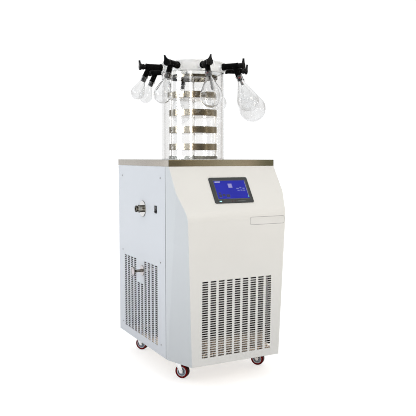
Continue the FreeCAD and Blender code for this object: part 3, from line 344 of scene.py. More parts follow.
def clear(name, tint, ior, rough=0.0, ripple=0.0, ripple_scale=30.0, scuff=0.0, through=1.0, edge=1.0):
    """Clear solid: refracts, with a slight body tint, faint ripple and handling haze. With edge below 1, painted shade:
    the body tint darkens where the surface turns away, standing for the dark outlines of glass.
    """
    m = Mat(name, tint, rough, Transmission_Weight=through, IOR=ior)
    haze = m.remap(m.noise(18.0, 4.0, 0.6), 0.5, 0.8, rough, rough + 0.012 + scuff)
    m.rough(haze)
    body = m.mix(m.remap(m.noise(7.0, 2.0), 0.35, 0.65), tint, tuple(min(1.0, c * 0.985) for c in tint))
    if edge < 1.0:
        # painted shade: rims darkened, standing for the dark outlines of glass
        lw = m.n("LayerWeight")
        lw.inputs["Blend"].default_value = 0.5
        rim = m.remap(m.math("POWER", lw.outputs["Facing"], 3.0), 0.10, 0.80)
        body = m.mix(rim, body, tuple(c * edge for c in tint))
    m.color(body)
    if ripple:
        m.bump(m.noise(ripple_scale, 1.0), ripple, 0.5)
    see_through(m)
    return m


# painted light: side and front are one paint, the side tinted cooler and the front warmer, standing for cool light from
# the left and warm light from the front
side_paint = powder_coat("powder_coat_side", (0.670, 0.695, 0.725), (0.645, 0.670, 0.705), (0.658, 0.683, 0.715))
front_paint = powder_coat("powder_coat_front", (0.700, 0.695, 0.668), (0.675, 0.670, 0.645), (0.625, 0.652, 0.668))
stainless = brushed("stainless_brushed", (0.370, 0.338, 0.290), (0.320, 0.290, 0.245), 0.22, "x", aniso=0.0)


def edge_reflection_tint(m, axis, side, stops):
    """Painted reflection on the faces of one side: tints standing for the light and dark of the room mirrored along the
    edge: (place along the edge, tint) stops.
    """
    base = m.b.inputs["Base Color"].links[0].from_socket
    nrm = m.sep(m.tc.outputs["Normal"])
    here = m.remap(m.math("MULTIPLY", nrm[side[0]], side[1]), 0.5, 0.8)
    r = m.n("ValToRGB")
    r.color_ramp.interpolation = "EASE"
    for p, c in stops:
        e = r.color_ramp.elements[0] if p == stops[0][0] else r.color_ramp.elements.new(p)
        e.position = p
        e.color = (*c, 1)
    r.color_ramp.elements.remove(r.color_ramp.elements[-1])
    m.link(m.remap(m.sep()[axis], -0.30, 0.30), r.inputs[0])
    x = m.n("Mix", data_type="RGBA", blend_type="MULTIPLY")
    m.link(here, x.inputs["Factor"])
    m.link(base, x.inputs[6])
    m.link(r.outputs[0], x.inputs[7])
    m.color(x.outputs[2])


# painted reflections: front edge by x, left edge by y
edge_reflection_tint(stainless, 0, (1, -1.0), [(0.06, (0.62, 0.58, 0.42)), (0.18, (0.90, 0.82, 0.60)), (0.31, (1.03, 0.97, 0.74)),
                                     (0.48, (1.14, 1.10, 0.88)), (0.66, (1.07, 1.0, 0.80)), (0.86, (0.56, 0.58, 0.42)), (0.95, (0.62, 0.60, 0.44))])
edge_reflection_tint(stainless, 1, (0, -1.0), [(0.04, (1.34, 1.38, 1.46)), (0.22, (1.10, 1.12, 1.16)), (0.50, (0.95, 0.97, 1.02)), (0.90, (1.0, 1.03, 1.08))])
well_steel = ringed_metal("stainless_spun", (0.60, 0.585, 0.56), (0.50, 0.485, 0.46), 0.26, "z", tuple(AXIS))
polished = ringed_metal("steel_polished_port", (0.60, 0.575, 0.51), (0.46, 0.435, 0.38), 0.14, "x", (0, -0.015 - SY, 0.756), edge=(0.034, 0.028, 0.018))
polished_d = ringed_metal("steel_polished_drain", (0.46, 0.42, 0.37), (0.34, 0.31, 0.27), 0.16, "x", (0, -0.001 - SY, 0.4565), edge=(0.050, 0.041, 0.029), face=(0.60, 0.565, 0.57))


def port_bands(m):
    """Painted reflection and shade on the hose stub: its end ring and root are painted dark, standing for the shade of
    its own steps and the dark room it mirrors, with a painted lighter line, a highlight, along the middle of the ring.
    """
    base = m.b.inputs["Base Color"].links[0].from_socket
    p = m.sep()
    out = m.math("SUBTRACT", -0.29437, p[0])
    ring = m.remap(out, 0.0288, 0.0300)
    root = m.math("MULTIPLY", m.remap(out, 0.0032, 0.0038), m.remap(out, 0.0085, 0.0065))
    mid = m.remap(m.math("ABSOLUTE", m.math("SUBTRACT", p[2], 0.756)), 0.0055, 0.0025)
    dark = m.mix(mid, (0.030, 0.024, 0.016), (0.17, 0.15, 0.11))
    m.color(m.mix(ring, m.mix(m.math("MULTIPLY", root, 0.8), base, (0.040, 0.034, 0.024)), dark))


port_bands(polished)
tray_steel = ringed_metal("tray_steel", (0.37, 0.335, 0.265), (0.25, 0.222, 0.168), 0.12, "z", tuple(AXIS), 0.0007)


def round_the_axis(m, stops):
    """Painted reflection: tones that change round the chamber axis, standing for the light and dark of a room mirrored
    in polished sheet: (degrees from the front to the left, tone).
    """
    base = m.b.inputs["Base Color"].links[0].from_socket
    p = m.sep()
    a = m.math("ARCTAN2", m.math("SUBTRACT", AXIS.x, p[0]), m.math("SUBTRACT", AXIS.y, p[1]))
    r = m.n("ValToRGB")
    for k, (deg, t) in enumerate(stops):
        pos = (deg + 180.0) / 360.0
        e = r.color_ramp.elements[0] if k == 0 else r.color_ramp.elements.new(pos)
        e.position = pos
        e.color = (0.3 * t, 0.3 * t, 0.3 * t, 1)
    r.color_ramp.elements.remove(r.color_ramp.elements[-1])
    m.link(m.remap(a, -math.pi, math.pi), r.inputs[0])
    up = m.n("VectorMath", operation="SCALE")
    m.link(r.outputs[0], up.inputs[0])
    up.inputs["Scale"].default_value = 1 / 0.3
    x = m.n("Mix", data_type="RGBA", blend_type="MULTIPLY")
    x.inputs["Factor"].default_value = 1.0
    m.link(base, x.inputs[6])
    m.link(up.outputs[0], x.inputs[7])
    m.color(x.outputs[2])


round_the_axis(tray_steel, [(-180, 1.0), (-150, 0.6), (-130, 1.5), (-110, 0.7), (-90, 1.1), (-72, 1.3), (-52, 1.9), (-43, 1.67), (-32, 1.3), (-23, 2.0),
                            (-16, 1.37), (-10, 1.4), (-5, 2.5), (-1, 2.0), (3, 1.0), (7, 0.55), (12, 0.55), (17, 0.68), (19.8, 1.15), (22.6, 2.8),
                            (27, 2.4), (31, 1.2), (47, 1.2), (62, 1.3), (68, 1.7), (76, 1.7), (84, 0.7), (90, 1.7), (100, 0.6), (136, 1.2), (176, 1.0)])
rod_steel = ringed_metal("rod_steel", (0.93, 0.925, 0.91), (0.86, 0.85, 0.83), 0.34, "z", tuple(AXIS), 0.0007)
foot = rod_steel.remap(rod_steel.sep()[2], 1.0085, 1.0060)
rod_steel.color(rod_steel.mix(foot, rod_steel.b.inputs["Base Color"].links[0].from_socket, (0.30, 0.305, 0.285)))
disc_steel = ringed_metal("disc_steel", (0.165, 0.150, 0.122), (0.108, 0.100, 0.080), 0.20, "z", tuple(AXIS), 0.0007)
zinc_frame = painted("chassis_black", (0.022, 0.022, 0.023), 0.5, 0.3, 0.15)
low = zinc_frame.remap(zinc_frame.sep()[2], 0.1015, 0.1040)
zinc_frame.color(zinc_frame.mix(low, zinc_frame.mix(zinc_frame.remap(zinc_frame.noise(14.0, 4.0), 0.3, 0.7), (0.74, 0.62, 0.49), (0.60, 0.50, 0.39)), (0.022, 0.022, 0.023)))
zinc_bright = zinc("zinc_bright", (0.93, 0.93, 0.93), (0.80, 0.805, 0.81), 0.22)
screw_zinc = zinc("zinc_screw", (0.22, 0.22, 0.22), (0.13, 0.13, 0.13), 0.35)
switch_black = plastic("switch_black", (0.005, 0.005, 0.0055), 0.22, 900.0, 0.00002, 0.3)
bezel_grey = plastic("bezel_grey", (0.026, 0.029, 0.030), 0.40, 1600.0, 0.00006, 0.35)
silicone = Mat("silicone", (0.80, 0.81, 0.80), 0.42, Subsurface_Weight=0.35, Subsurface_Radius=(0.004, 0.004, 0.004), Subsurface_Scale=1.0)
silicone.vary((0.80, 0.81, 0.80), (0.70, 0.71, 0.70), 20.0)
silicone.bump(silicone.noise(500.0, 2.0), 0.00005, 0.4)
acrylic = clear("acrylic_clear", (0.985, 0.985, 0.982), 1.49, 0.0, 0.0, 16.0, 0.0, 1.0, 0.90)
lid_acrylic = clear("acrylic_frosted", (0.975, 0.975, 0.972), 1.49, 0.34, 0.0, 16.0, 0.10, 0.60)
flask_glass = clear("flask_glass", (0.946, 0.949, 0.949), 1.50, 0.010, 0.0, 40.0, 0.0, 1.0, 0.78)
valve_rubber = rubber("valve_rubber", (0.0022, 0.0022, 0.0023), 0.46, 0.02, 0.0)
knob_black = plastic("knob_black", (0.0022, 0.0022, 0.0023), 0.22, 1200.0, 0.00003, 0.07)
foam = painted("foam_insulation", (0.70, 0.62, 0.42), 0.85, 0.2)
foam.bump(foam.noise(260.0, 4.0, 0.7), 0.0006, 0.8)
copper = ringed_metal("copper_tube", (0.72, 0.36, 0.20), (0.52, 0.25, 0.14), 0.24, "z", tuple(AXIS), 0.004)
enamel_black = painted("enamel_black", (0.014, 0.014, 0.015), 0.22, 0.5, 0.5)
fin_metal = brushed("fin_aluminium", (0.060, 0.060, 0.062), (0.040, 0.040, 0.042), 0.42, "z", 0.6)
# painted light: a guessed light tan on the coil's lowest rows, standing for the light seen through the lowest vent rows
low_rows_light = fin_metal.mix(fin_metal.remap(fin_metal.noise(90.0, 3.0), 0.3, 0.7), (0.86, 0.70, 0.54), (0.66, 0.53, 0.40))
fin_metal.color(fin_metal.mix(fin_metal.remap(fin_metal.sep()[2], 0.215, 0.185), fin_metal.b.inputs["Base Color"].links[0].from_socket, low_rows_light))
shroud_black = painted("shroud_black", (0.020, 0.020, 0.021), 0.42, 0.4, 0.4)
motor_grey = painted("motor_grey", (0.12, 0.12, 0.125), 0.40, 0.5, 0.3)
blade_metal = brushed("fan_blade", (0.36, 0.36, 0.37), (0.28, 0.28, 0.29), 0.36, "y", 0.5)
hose = Mat("drain_hose_soft", (0.62, 0.64, 0.62), 0.28, Transmission_Weight=0.45, IOR=1.43)
hose.vary((0.62, 0.64, 0.62), (0.52, 0.54, 0.50), 30.0)
hose.bump(hose.noise(180.0, 2.0), 0.0001, 0.3)
box_grey = painted("controller_grey", (0.30, 0.315, 0.32), 0.45, 0.4)
inlet_black = plastic("inlet_black", (0.014, 0.014, 0.015), 0.36, 900.0, 0.00005)


def round_the_axle(m, pivot, stops):
    """Colours by distance from a wheel's axle, in millimetres: sunk web, slope and rim, or side face and running face.
    Partly the parts' own tones and partly painted reflection and shade: the hubs' bright rim stands for its highlight,
    and the treads' dark running face stands for its shade.
    """
    t = math.radians(-50.3)
    f = (math.cos(t), math.sin(t))
    c = (pivot[0] + 0.025 * f[0] - SX, pivot[1] + 0.025 * f[1] - SY, 0.0315)
    p = m.sep()
    d = [m.math("SUBTRACT", p[i], c[i]) for i in range(3)]
    along = m.math("ADD", m.math("MULTIPLY", d[0], f[0]), m.math("MULTIPLY", d[1], f[1]))
    r = m.math("SQRT", m.math("ADD", m.math("MULTIPLY", along, along), m.math("MULTIPLY", d[2], d[2])))
    ramp = m.n("ValToRGB")
    for k, (mm, rgb) in enumerate(stops):
        e = ramp.color_ramp.elements[0] if k == 0 else ramp.color_ramp.elements.new(mm / 32.0)
        e.position = mm / 32.0
        e.color = tuple(rgb) + (1,)
    ramp.color_ramp.elements.remove(ramp.color_ramp.elements[-1])
    m.link(m.remap(r, 0.0, 0.032), ramp.inputs[0])
    speck = m.remap(m.noise(120.0, 3.0), 0.3, 0.7, 0.0, 0.22)
    m.color(m.mix(speck, ramp.outputs[0], tuple(0.6 * v for v in stops[-1][1])))


HUBS, TREADS = {}, {}
for k, pivot in {"fl": (-0.201, -0.253), "fr": (0.201, -0.253), "rl": (-0.201, 0.237), "rr": (0.201, 0.237)}.items():
    HUBS[k] = plastic("hub_grey_" + k, (0.50, 0.54, 0.58), 0.45, 500.0, 0.00008)
    round_the_axle(HUBS[k], pivot, [(0, (0.10, 0.11, 0.12)), (7.3, (0.13, 0.14, 0.15)), (9.5, (0.11, 0.13, 0.15)), (11.5, (0.30, 0.35, 0.42)),
                                    (16.4, (0.26, 0.31, 0.38)), (17.2, (0.16, 0.19, 0.23)), (19.2, (0.34, 0.40, 0.47)), (19.9, (0.78, 0.86, 0.94)),
                                    (22.0, (0.72, 0.80, 0.88))])
    TREADS[k] = rubber("tread_red_" + k, (0.150, 0.0040, 0.0060), 0.36, 0.07, 0.0)
    round_the_axle(TREADS[k], pivot, [(0, (0.13, 0.0012, 0.0016)), (22.3, (0.19, 0.0060, 0.0060)), (24.0, (0.18, 0.0014, 0.0018)), (28.8, (0.16, 0.0012, 0.0016)),
                                      (30.2, (0.060, 0.0010, 0.0012)), (31.2, (0.022, 0.0008, 0.0010))])
display_blue = Mat("display_blue", (0.003, 0.004, 0.030), 0.12, Specular_IOR_Level=0.22)


def display_glow():
    """The lit panel: even deep blue, a little brighter across its middle, over a fine pixel grid."""
    m = display_blue
    s = m.sep()
    across = m.remap(m.noise(9.0, 2.0), 0.3, 0.7)
    glow = m.mix(across, (0.007, 0.013, 0.42), (0.015, 0.022, 0.54))
    cell = m.math("FRACT", m.math("MULTIPLY", s[0], 2500.0))
    grid = m.remap(m.math("ABSOLUTE", m.math("SUBTRACT", cell, 0.5)), 0.30, 0.48, 0.0, 0.25)
    glow = m.mix(grid, glow, (0.012, 0.014, 0.26))
    m.link(glow, m.b.inputs["Emission Color"])
    m.b.inputs["Emission Strength"].default_value = 0.72
    m.rough(m.remap(m.noise(40.0, 3.0), 0.3, 0.7, 0.06, 0.14))


display_glow()

NODE_MATERIAL = {
    "front_shell": front_paint, "side_panel_left": side_paint, "side_panel_right": side_paint, "back_panel": side_paint,
    "top_plate": stainless, "chassis_frame": zinc_frame, "panel_screws": screw_zinc, "vacuum_port": polished,
    "switch_housing": switch_black, "power_rocker": switch_black, "drain_valve_body": polished_d, "drain_knob": polished_d,
    "screen_bezel": bezel_grey, "screen_display": display_blue, "chamber_seals": silicone, "chamber_tube": acrylic,
    "manifold_body": lid_acrylic, "rack_stand": rod_steel, "rack_top_disc": disc_steel, "cold_trap_well": well_steel,
    "trap_insulation": foam, "refrigerant_circuit": copper, "compressor": enamel_black, "condenser": fin_metal,
    "fan_shroud": shroud_black, "fan_motor": motor_grey, "condenser_fan": blade_metal, "drain_hose": hose,
    "controller_box": box_grey, "power_inlet": inlet_black, "valve_bodies": valve_rubber, "caster_plates": zinc_bright,
}
for i in range(1, 5):
    NODE_MATERIAL["shelf_tray_%d" % i] = tray_steel
for i in range(1, 9):
    NODE_MATERIAL["valve_knob_%d" % i] = knob_black
for k in FLASKS:
    NODE_MATERIAL[k] = flask_glass
for k in ("fl", "fr", "rl", "rr"):
    NODE_MATERIAL["caster_fork_" + k] = zinc_bright
    NODE_MATERIAL["wheel_hub_" + k] = HUBS[k]
    NODE_MATERIAL["wheel_tread_" + k] = TREADS[k]

for name, o in nodes.items():
    o.data.materials.clear()
    o.data.materials.append(NODE_MATERIAL[name].m)


# ------------------------------------------------------------------ mesh helpers
def new_object(name, verts, faces, mat, smooth=True, body="cabinet"):
    me = bpy.data.meshes.new(name)
    me.from_pydata([tuple(v) for v in verts], [], faces)
    me.validate()
    bm = bmesh.new()
    bm.from_mesh(me)
    bmesh.ops.recalc_face_normals(bm, faces=bm.faces)
    bm.to_mesh(me)
    bm.free()
    if smooth:
        me.polygons.foreach_set("use_smooth", [True] * len(me.polygons))
    o = bpy.data.objects.new(name, me)
    scene.collection.objects.link(o)
    me.materials.append(mat.m)
    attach(o, body)
    return o


def lathe(profile, to_row, segments=96, closed=True):
    """Vertices and faces of a closed (r, t) outline turned about local z, sent through to_row(Vector)."""
    verts, faces = [], []
    n = len(profile)
    for k in range(segments):
        a = 2 * math.pi * k / segments
        c, s = math.cos(a), math.sin(a)
        for r, t in profile:
            verts.append(to_row(Vector((r * c, r * s, t))))
    for k in range(segments):
        k2 = (k + 1) % segments
        for i in range(n if closed else n - 1):
            j = (i + 1) % n
            a, b, c, d = k * n + i, k2 * n + i, k2 * n + j, k * n + j
            if profile[i][0] < 1e-9 and profile[j][0] < 1e-9:
                continue
            if profile[i][0] < 1e-9:
                faces.append((a, c, d))
            elif profile[j][0] < 1e-9:
                faces.append((a, b, c))
            else:
                faces.append((a, b, c, d))
    return verts, faces


def weld(o, dist=1e-6):
    bm = bmesh.new()
    bm.from_mesh(o.data)
    bmesh.ops.remove_doubles(bm, verts=bm.verts, dist=dist)
    bmesh.ops.recalc_face_normals(bm, faces=bm.faces)
    bm.to_mesh(o.data)
    bm.free()
    o.data.polygons.foreach_set("use_smooth", [True] * len(o.data.polygons))
    return o


def arc(cx, cy, r, a0, a1, n):
    """Points on an arc in (r, t), angles in degrees."""
    return [(cx + r * math.cos(math.radians(a0 + (a1 - a0) * i / n)), cy + r * math.sin(math.radians(a0 + (a1 - a0) * i / n))) for i in range(n + 1)]


def port_frame(i, along=True):
    """Row-frame transform of port i: local x outwards, y sideways, z up, in millimetres."""
    push, tilt, twist, out, pointer = VALVE_SET[i]
    a = math.radians(PORT_AZ[i])
    u = Vector((math.sin(a), -math.cos(a), 0))
    t = Vector((math.cos(a), math.sin(a), 0))
    m = Matrix(((u.x, t.x, 0), (u.y, t.y, 0), (u.z, t.z, 1)))
    rot = Matrix.Rotation(math.radians(twist), 3, "X")
    org = Vector((AXIS.x, AXIS.y, PORT_Z)) + u * push / 1000

    def f(v, turned=True):
        return org + (m @ (rot @ v if turned else v)) / 1000
    return f


def leg_frame(i):
    """Row-frame transform of the leg of valve i: local z along the leg from the barrel's axis, in millimetres."""
    tl = math.radians(VALVE_SET[i][1])
    z = Vector((math.sin(tl), 0, -math.cos(tl)))
    y = Vector((0, 1, 0))
    x = y.cross(z)
    pf = port_frame(i)

    def f(v):
        return pf(x * v.x + y * v.y + z * v.z + Vector((LEG_AT, 0, 0)))
    return f


# ------------------------------------------------------------------ camera
cam_data = bpy.data.cameras.new("camera")
cam_data.lens = 55.43
cam_data.sensor_width = 36.0
cam_data.clip_start = 0.05
cam = bpy.data.objects.new("camera", cam_data)
scene.collection.objects.link(cam)
cam.location = (-1.4007 - SX, -2.8456 - SY, 1.0027)
cam.rotation_euler = (math.radians(90 - 4.6), 0, -math.radians(27.62))
scene.camera = cam

# ------------------------------------------------------------------ flasks: smooth blown glass over the same walls
def flask_outline(rb, tc, g):
    """Closed (r, t) outline of the wall: beaded mouth, neck, tangent cone and round bulb."""
    def side(off):
        rn, R, tn = 14.0 - off, rb - off, LIP_AT + 28.0
        dx, dt = rn, tn - tc
        dist = math.hypot(dx, dt)
        q0 = math.atan2(dt, dx)
        qs = (q0 + math.acos(R / dist), q0 - math.acos(R / dist))
        q = max(qs, key=lambda v: R * math.cos(v))
        return rn, tn, R, q
    rn, tn, R, q = side(0.0)
    _, ti, Ri, qi = side(g)
    outer = [(13.2, LIP_AT + 0.1), (14.6, LIP_AT + 0.35), (15.7, LIP_AT + 1.1), (16.2, LIP_AT + 2.4), (16.0, LIP_AT + 3.5), (15.2, LIP_AT + 4.6), (14.3, LIP_AT + 5.5), (14.0, LIP_AT + 7.0)]
    outer += [(14.0, t) for t in (LIP_AT + 12, LIP_AT + 18, tn - 4)]
    c = (R * math.cos(q), tc + R * math.sin(q))
    outer += [(14.05, tn - 1.5), (14.3, tn + 1.0)]
    steps = 8
    for k in range(1, steps):
        f = k / steps
        outer.append((rn + (c[0] - rn) * f, tn + (c[1] - tn) * f))
    n = 26
    for k in range(n + 1):
        a = q + (math.pi / 2 - q) * k / n
        outer.append((max(R * math.cos(a), 0.0) if k < n else 0.0, tc + R * math.sin(a)))
    inner = []
    for k in range(n + 1):
        a = math.pi / 2 + (qi - math.pi / 2) * k / n
        inner.append((Ri * math.cos(a) if k > 0 else 0.0, tc + Ri * math.sin(a)))
    ci = (Ri * math.cos(qi), tc + Ri * math.sin(qi))
    for k in range(1, steps + 1):
        f = k / steps
        inner.append((ci[0] + (11.7 - ci[0]) * f, ci[1] + (ti - ci[1]) * f))
    inner += [(11.65, t) for t in (ti - 4, LIP_AT + 18, LIP_AT + 8, LIP_AT + 1.2)] + [(11.9, LIP_AT + 0.45), (12.4, LIP_AT + 0.15)]
    return outer + inner


CLEAR_PIECES = []
lo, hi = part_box("chamber_tube")
tube_top, tube_bottom, tube_out, tube_in = hi.z * 1000, lo.z * 1000, 152.0, 142.0
tube_wall = [(tube_in, tube_bottom + 0.65), (tube_in, tube_bottom + 0.6), (tube_in + 0.6, tube_bottom), (tube_out - 0.6, tube_bottom), (tube_out, tube_bottom + 0.6), (tube_out, tube_bottom + 0.65)]
tube_wall += [(tube_out, tube_bottom + (tube_top - tube_bottom) * k / 12) for k in range(1, 12)]
tube_wall += [(tube_out, tube_top - 0.65), (tube_out, tube_top - 0.6), (tube_out - 0.6, tube_top), (tube_in + 0.6, tube_top), (tube_in, tube_top - 0.6), (tube_in, tube_top - 0.65)]
tube_wall += [(tube_in, tube_top - (tube_top - tube_bottom) * k / 12) for k in range(1, 12)]
v, f = lathe(tube_wall, lambda p: Vector((AXIS.x + p.x / 1000, AXIS.y + p.y / 1000, p.z / 1000)), 256)
tube = weld(new_object("chamber_tube_clear", v, f, acrylic, True, "cabinet"))
tube.data.set_sharp_from_angle(angle=math.radians(30))
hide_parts("chamber_tube")
CLEAR_PIECES.append(tube)
red_mark = painted("neck_mark_red", (0.42, 0.03, 0.03), 0.4)
spot_mat = painted("marking_spot", (0.82, 0.83, 0.83), 0.55)
for node, (rb, tc, g, ports) in FLASKS.items():
    allv, allf = [], []
    for i in ports:
        v, f = lathe(flask_outline(rb, tc, g), leg_frame(i), 72)
        allf += [tuple(j + len(allv) for j in q) for q in f]
        allv += v
    o = weld(new_object(node + "_glass", allv, allf, flask_glass, True, "cabinet"))
    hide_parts(node)
    CLEAR_PIECES.append(o)
    # a fired red dash on the neck
    mv, mf, rv, rf = [], [], [], []
    for i in ports:
        fr = leg_frame(i)
        # dash: 9 mm long arc, 1.3 mm high, standing 0.05 mm off the neck, on the outer side
        base = len(rv)
        for h in (LIP_AT + 11.0, LIP_AT + 12.6):
            for k in range(9):
                a = math.radians(-150 + 60 * k / 8)
                rv.append(fr(Vector((14.06 * math.cos(a), 14.06 * math.sin(a), h))))
        for k in range(8):
            rf.append((base + k, base + k + 1, base + 9 + k + 1, base + 9 + k))
    new_object(node + "_neck_marks", rv, rf, red_mark, True, "cabinet")


# ------------------------------------------------------------------ touch screen: picture, lamp and sensor window
def slant_s(z):
    return 318.0 + 0.662 * (958.8 - z)


N_SL = Vector((0, -1, 0.662)).normalized()
U_SL = Vector((0, 0.662, 1)).normalized()
SCR = row(0, -slant_s(853.5), 853.5)


def on_screen(x, y, h):
    """Screen-plane millimetres (x right, y up the slope, h out of the panel) to the row frame."""
    return SCR + Vector((1, 0, 0)) * x / 1000 + U_SL * y / 1000 + N_SL * h / 1000


def plate(name, items, mat, h0, h1, place, body="cabinet", r=0.5):
    """Thin raised plates with rounded corners: items are (cx, cy, width, height) or (cx, cy, width, height, radius)."""
    verts, faces = [], []
    for it in items:
        cx, cy, w, h = it[:4]
        rr = min(it[4] if len(it) > 4 else r, w / 2 - 1e-3, h / 2 - 1e-3)
        ring = []
        for sx, sy, a0 in ((1, 1, 0), (-1, 1, 90), (-1, -1, 180), (1, -1, 270)):
            for k in range(5):
                a = math.radians(a0 + 90 * k / 4)
                ring.append((cx + sx * (w / 2 - rr) + rr * math.cos(a), cy + sy * (h / 2 - rr) + rr * math.sin(a)))
        b = len(verts)
        m = len(ring)
        bev = min(0.15, (h1 - h0) / 2)
        for hh, ins in ((h0, 0.0), (h1 - bev, 0.0), (h1, bev)):
            for x, y in ring:
                kx = 1 - ins / (w / 2)
                ky = 1 - ins / (h / 2)
                verts.append(place(cx + (x - cx) * kx, cy + (y - cy) * ky, hh))
        for lvl in range(2):
            for k in range(m):
                k2 = (k + 1) % m
                faces.append((b + lvl * m + k, b + lvl * m + k2, b + (lvl + 1) * m + k2, b + (lvl + 1) * m + k))
        faces.append(tuple(b + 2 * m + k for k in range(m)))
        faces.append(tuple(b + k for k in reversed(range(m))))
    return new_object(name, verts, faces, mat, False, body)


def lit(name, color, strength, rough=0.2):
    m = Mat(name, tuple(c * 0.3 for c in color), rough)
    f = m.remap(m.noise(300.0, 2.0), 0.3, 0.7)
    c = m.mix(f, tuple(v * 0.92 for v in color), color)
    m.link(c, m.b.inputs["Emission Color"])
    m.b.inputs["Emission Strength"].default_value = strength
    m.color(m.mix(f, tuple(v * 0.25 for v in color), tuple(v * 0.3 for v in color)))
    return m


DX, DY = 2.0, 2.0                       # display centre on the bezel
W2, H2 = 79.0, 46.0


def d(x, y):
    """Display coordinates, 0..1 from its lower left corner, to screen millimetres."""
    return DX - W2 + 2 * W2 * x, DY - H2 + 2 * H2 * y


def ui(name, cells, mat, h=3.98):
    items = []
    for x0, y0, x1, y1 in cells:
        a, b = d(x0, y0), d(x1, y1)
        items.append(((a[0] + b[0]) / 2, (a[1] + b[1]) / 2, b[0] - a[0], b[1] - a[1]))
    plate(name, items, mat, h - 0.06, h, on_screen, r=0.6)


ui("screen_top_row", [(0.03, 0.915, 0.20, 0.95)], lit("lit_white", (0.80, 0.82, 0.95), 0.9))
ui("screen_centre_block", [(0.42, 0.60, 0.55, 0.83)], lit("lit_lilac", (0.20, 0.19, 0.50), 0.85))
ui("screen_centre_rows", [(0.43, 0.62 + 0.055 * k, 0.54, 0.64 + 0.055 * k) for k in range(4)], lit("lit_pale", (0.36, 0.35, 0.56), 0.85), 4.02)
ui("screen_value_tiles", [(0.66, 0.52, 0.74, 0.58), (0.77, 0.56, 0.83, 0.63), (0.86, 0.52, 0.93, 0.58), (0.68, 0.42, 0.75, 0.47), (0.78, 0.42, 0.84, 0.48), (0.87, 0.41, 0.93, 0.47)],
   lit("lit_grey", (0.13, 0.15, 0.46), 0.8))
ui("screen_keys", [(0.05, 0.10, 0.14, 0.24), (0.05, 0.27, 0.12, 0.35), (0.17, 0.14, 0.25, 0.26), (0.28, 0.10, 0.39, 0.24)], lit("lit_dark", (0.010, 0.011, 0.055), 0.8))
ui("screen_key_edges", [(0.045, 0.075, 0.145, 0.088), (0.275, 0.075, 0.395, 0.088)], lit("lit_slate", (0.08, 0.085, 0.20), 0.8))
# painted highlight: a glowing bar at the display's right edge stands for the highlight on the bezel's inner lip
ui("screen_edge_highlight", [(0.982, 0.14, 0.995, 0.97)], lit("lit_lip_highlight", (0.26, 0.28, 0.33), 0.8))
ui("screen_edge_end", [(0.962, 0.07, 0.995, 0.135)], lit("lit_teal", (0.10, 0.52, 0.50), 0.9), 4.04)

BX0, BX1 = -97.25, 97.25
lamp = plate("bezel_lamp", [(-70.0, -56.5, 12.0, 4.6, 2.2)], lit("lamp_blue", (0.35, 0.75, 0.95), 1.2), 4.3, 5.0, on_screen)
window = plate("bezel_sensor", [(-12.0, -57.0, 7.0, 5.0, 2.4), (2.0, -57.0, 9.0, 4.6, 2.2)], plastic("sensor_window", (0.05, 0.006, 0.010), 0.10, 400.0, 0.00001), 4.3, 4.9, on_screen)
strip = plate("bezel_name_strip", [(36.0, -57.0, 38.0, 4.2, 0.6)], plastic("bezel_strip", (0.075, 0.080, 0.085), 0.30, 700.0, 0.00002), 4.3, 4.62, on_screen)
# the touch sheet's frame: a fine lip round the display
lip_items = [(DX, DY + H2 + 1.6, 2 * W2 + 6.2, 1.0, 0.45), (DX, DY - H2 - 1.6, 2 * W2 + 6.2, 1.0, 0.45), (DX - W2 - 2.4, DY, 1.0, 2 * H2 + 2.0, 0.45), (DX + W2 + 2.4, DY, 1.0, 2 * H2 + 2.0, 0.45)]
plate("bezel_inner_lip", lip_items, plastic("bezel_lip", (0.11, 0.115, 0.12), 0.35), 4.4, 4.75, on_screen)


# ------------------------------------------------------------------ bare notice plate with a fine printed border, bent with the shell
def shell_point(x, z, h):
    """Point on the front shell's outer face at height z, h millimetres proud of it."""
    zc = (318.0 + 0.662 * 958.8 - 443.0 + 0.0192 * 100.0) / (0.662 + 0.0192)
    sc = 443.0 + 0.0192 * (zc - 100.0)
    up = Vector((-0.662, 1.0)).normalized()
    dn = Vector((-0.0192, -1.0)).normalized()
    ang = up.angle(dn)
    c = Vector((sc, zc)) + (up + dn).normalized() * (90.0 / math.sin(ang / 2))
    t = 90.0 / math.tan(ang / 2)
    p1 = Vector((sc, zc)) + up * t
    p2 = Vector((sc, zc)) + dn * t
    if z > p1.y:
        s, n = slant_s(z), Vector((1.0, 0.662)).normalized()
    elif z < p2.y:
        s, n = 443.0 + 0.0192 * (z - 100.0), Vector((1.0, -0.0192)).normalized()
    else:
        dz = z - c.y
        s = c.x + math.sqrt(90.0 ** 2 - dz ** 2)
        n = Vector((s - c.x, dz)).normalized()
    return row(x, -(s + n.x * h), z + n.y * h)


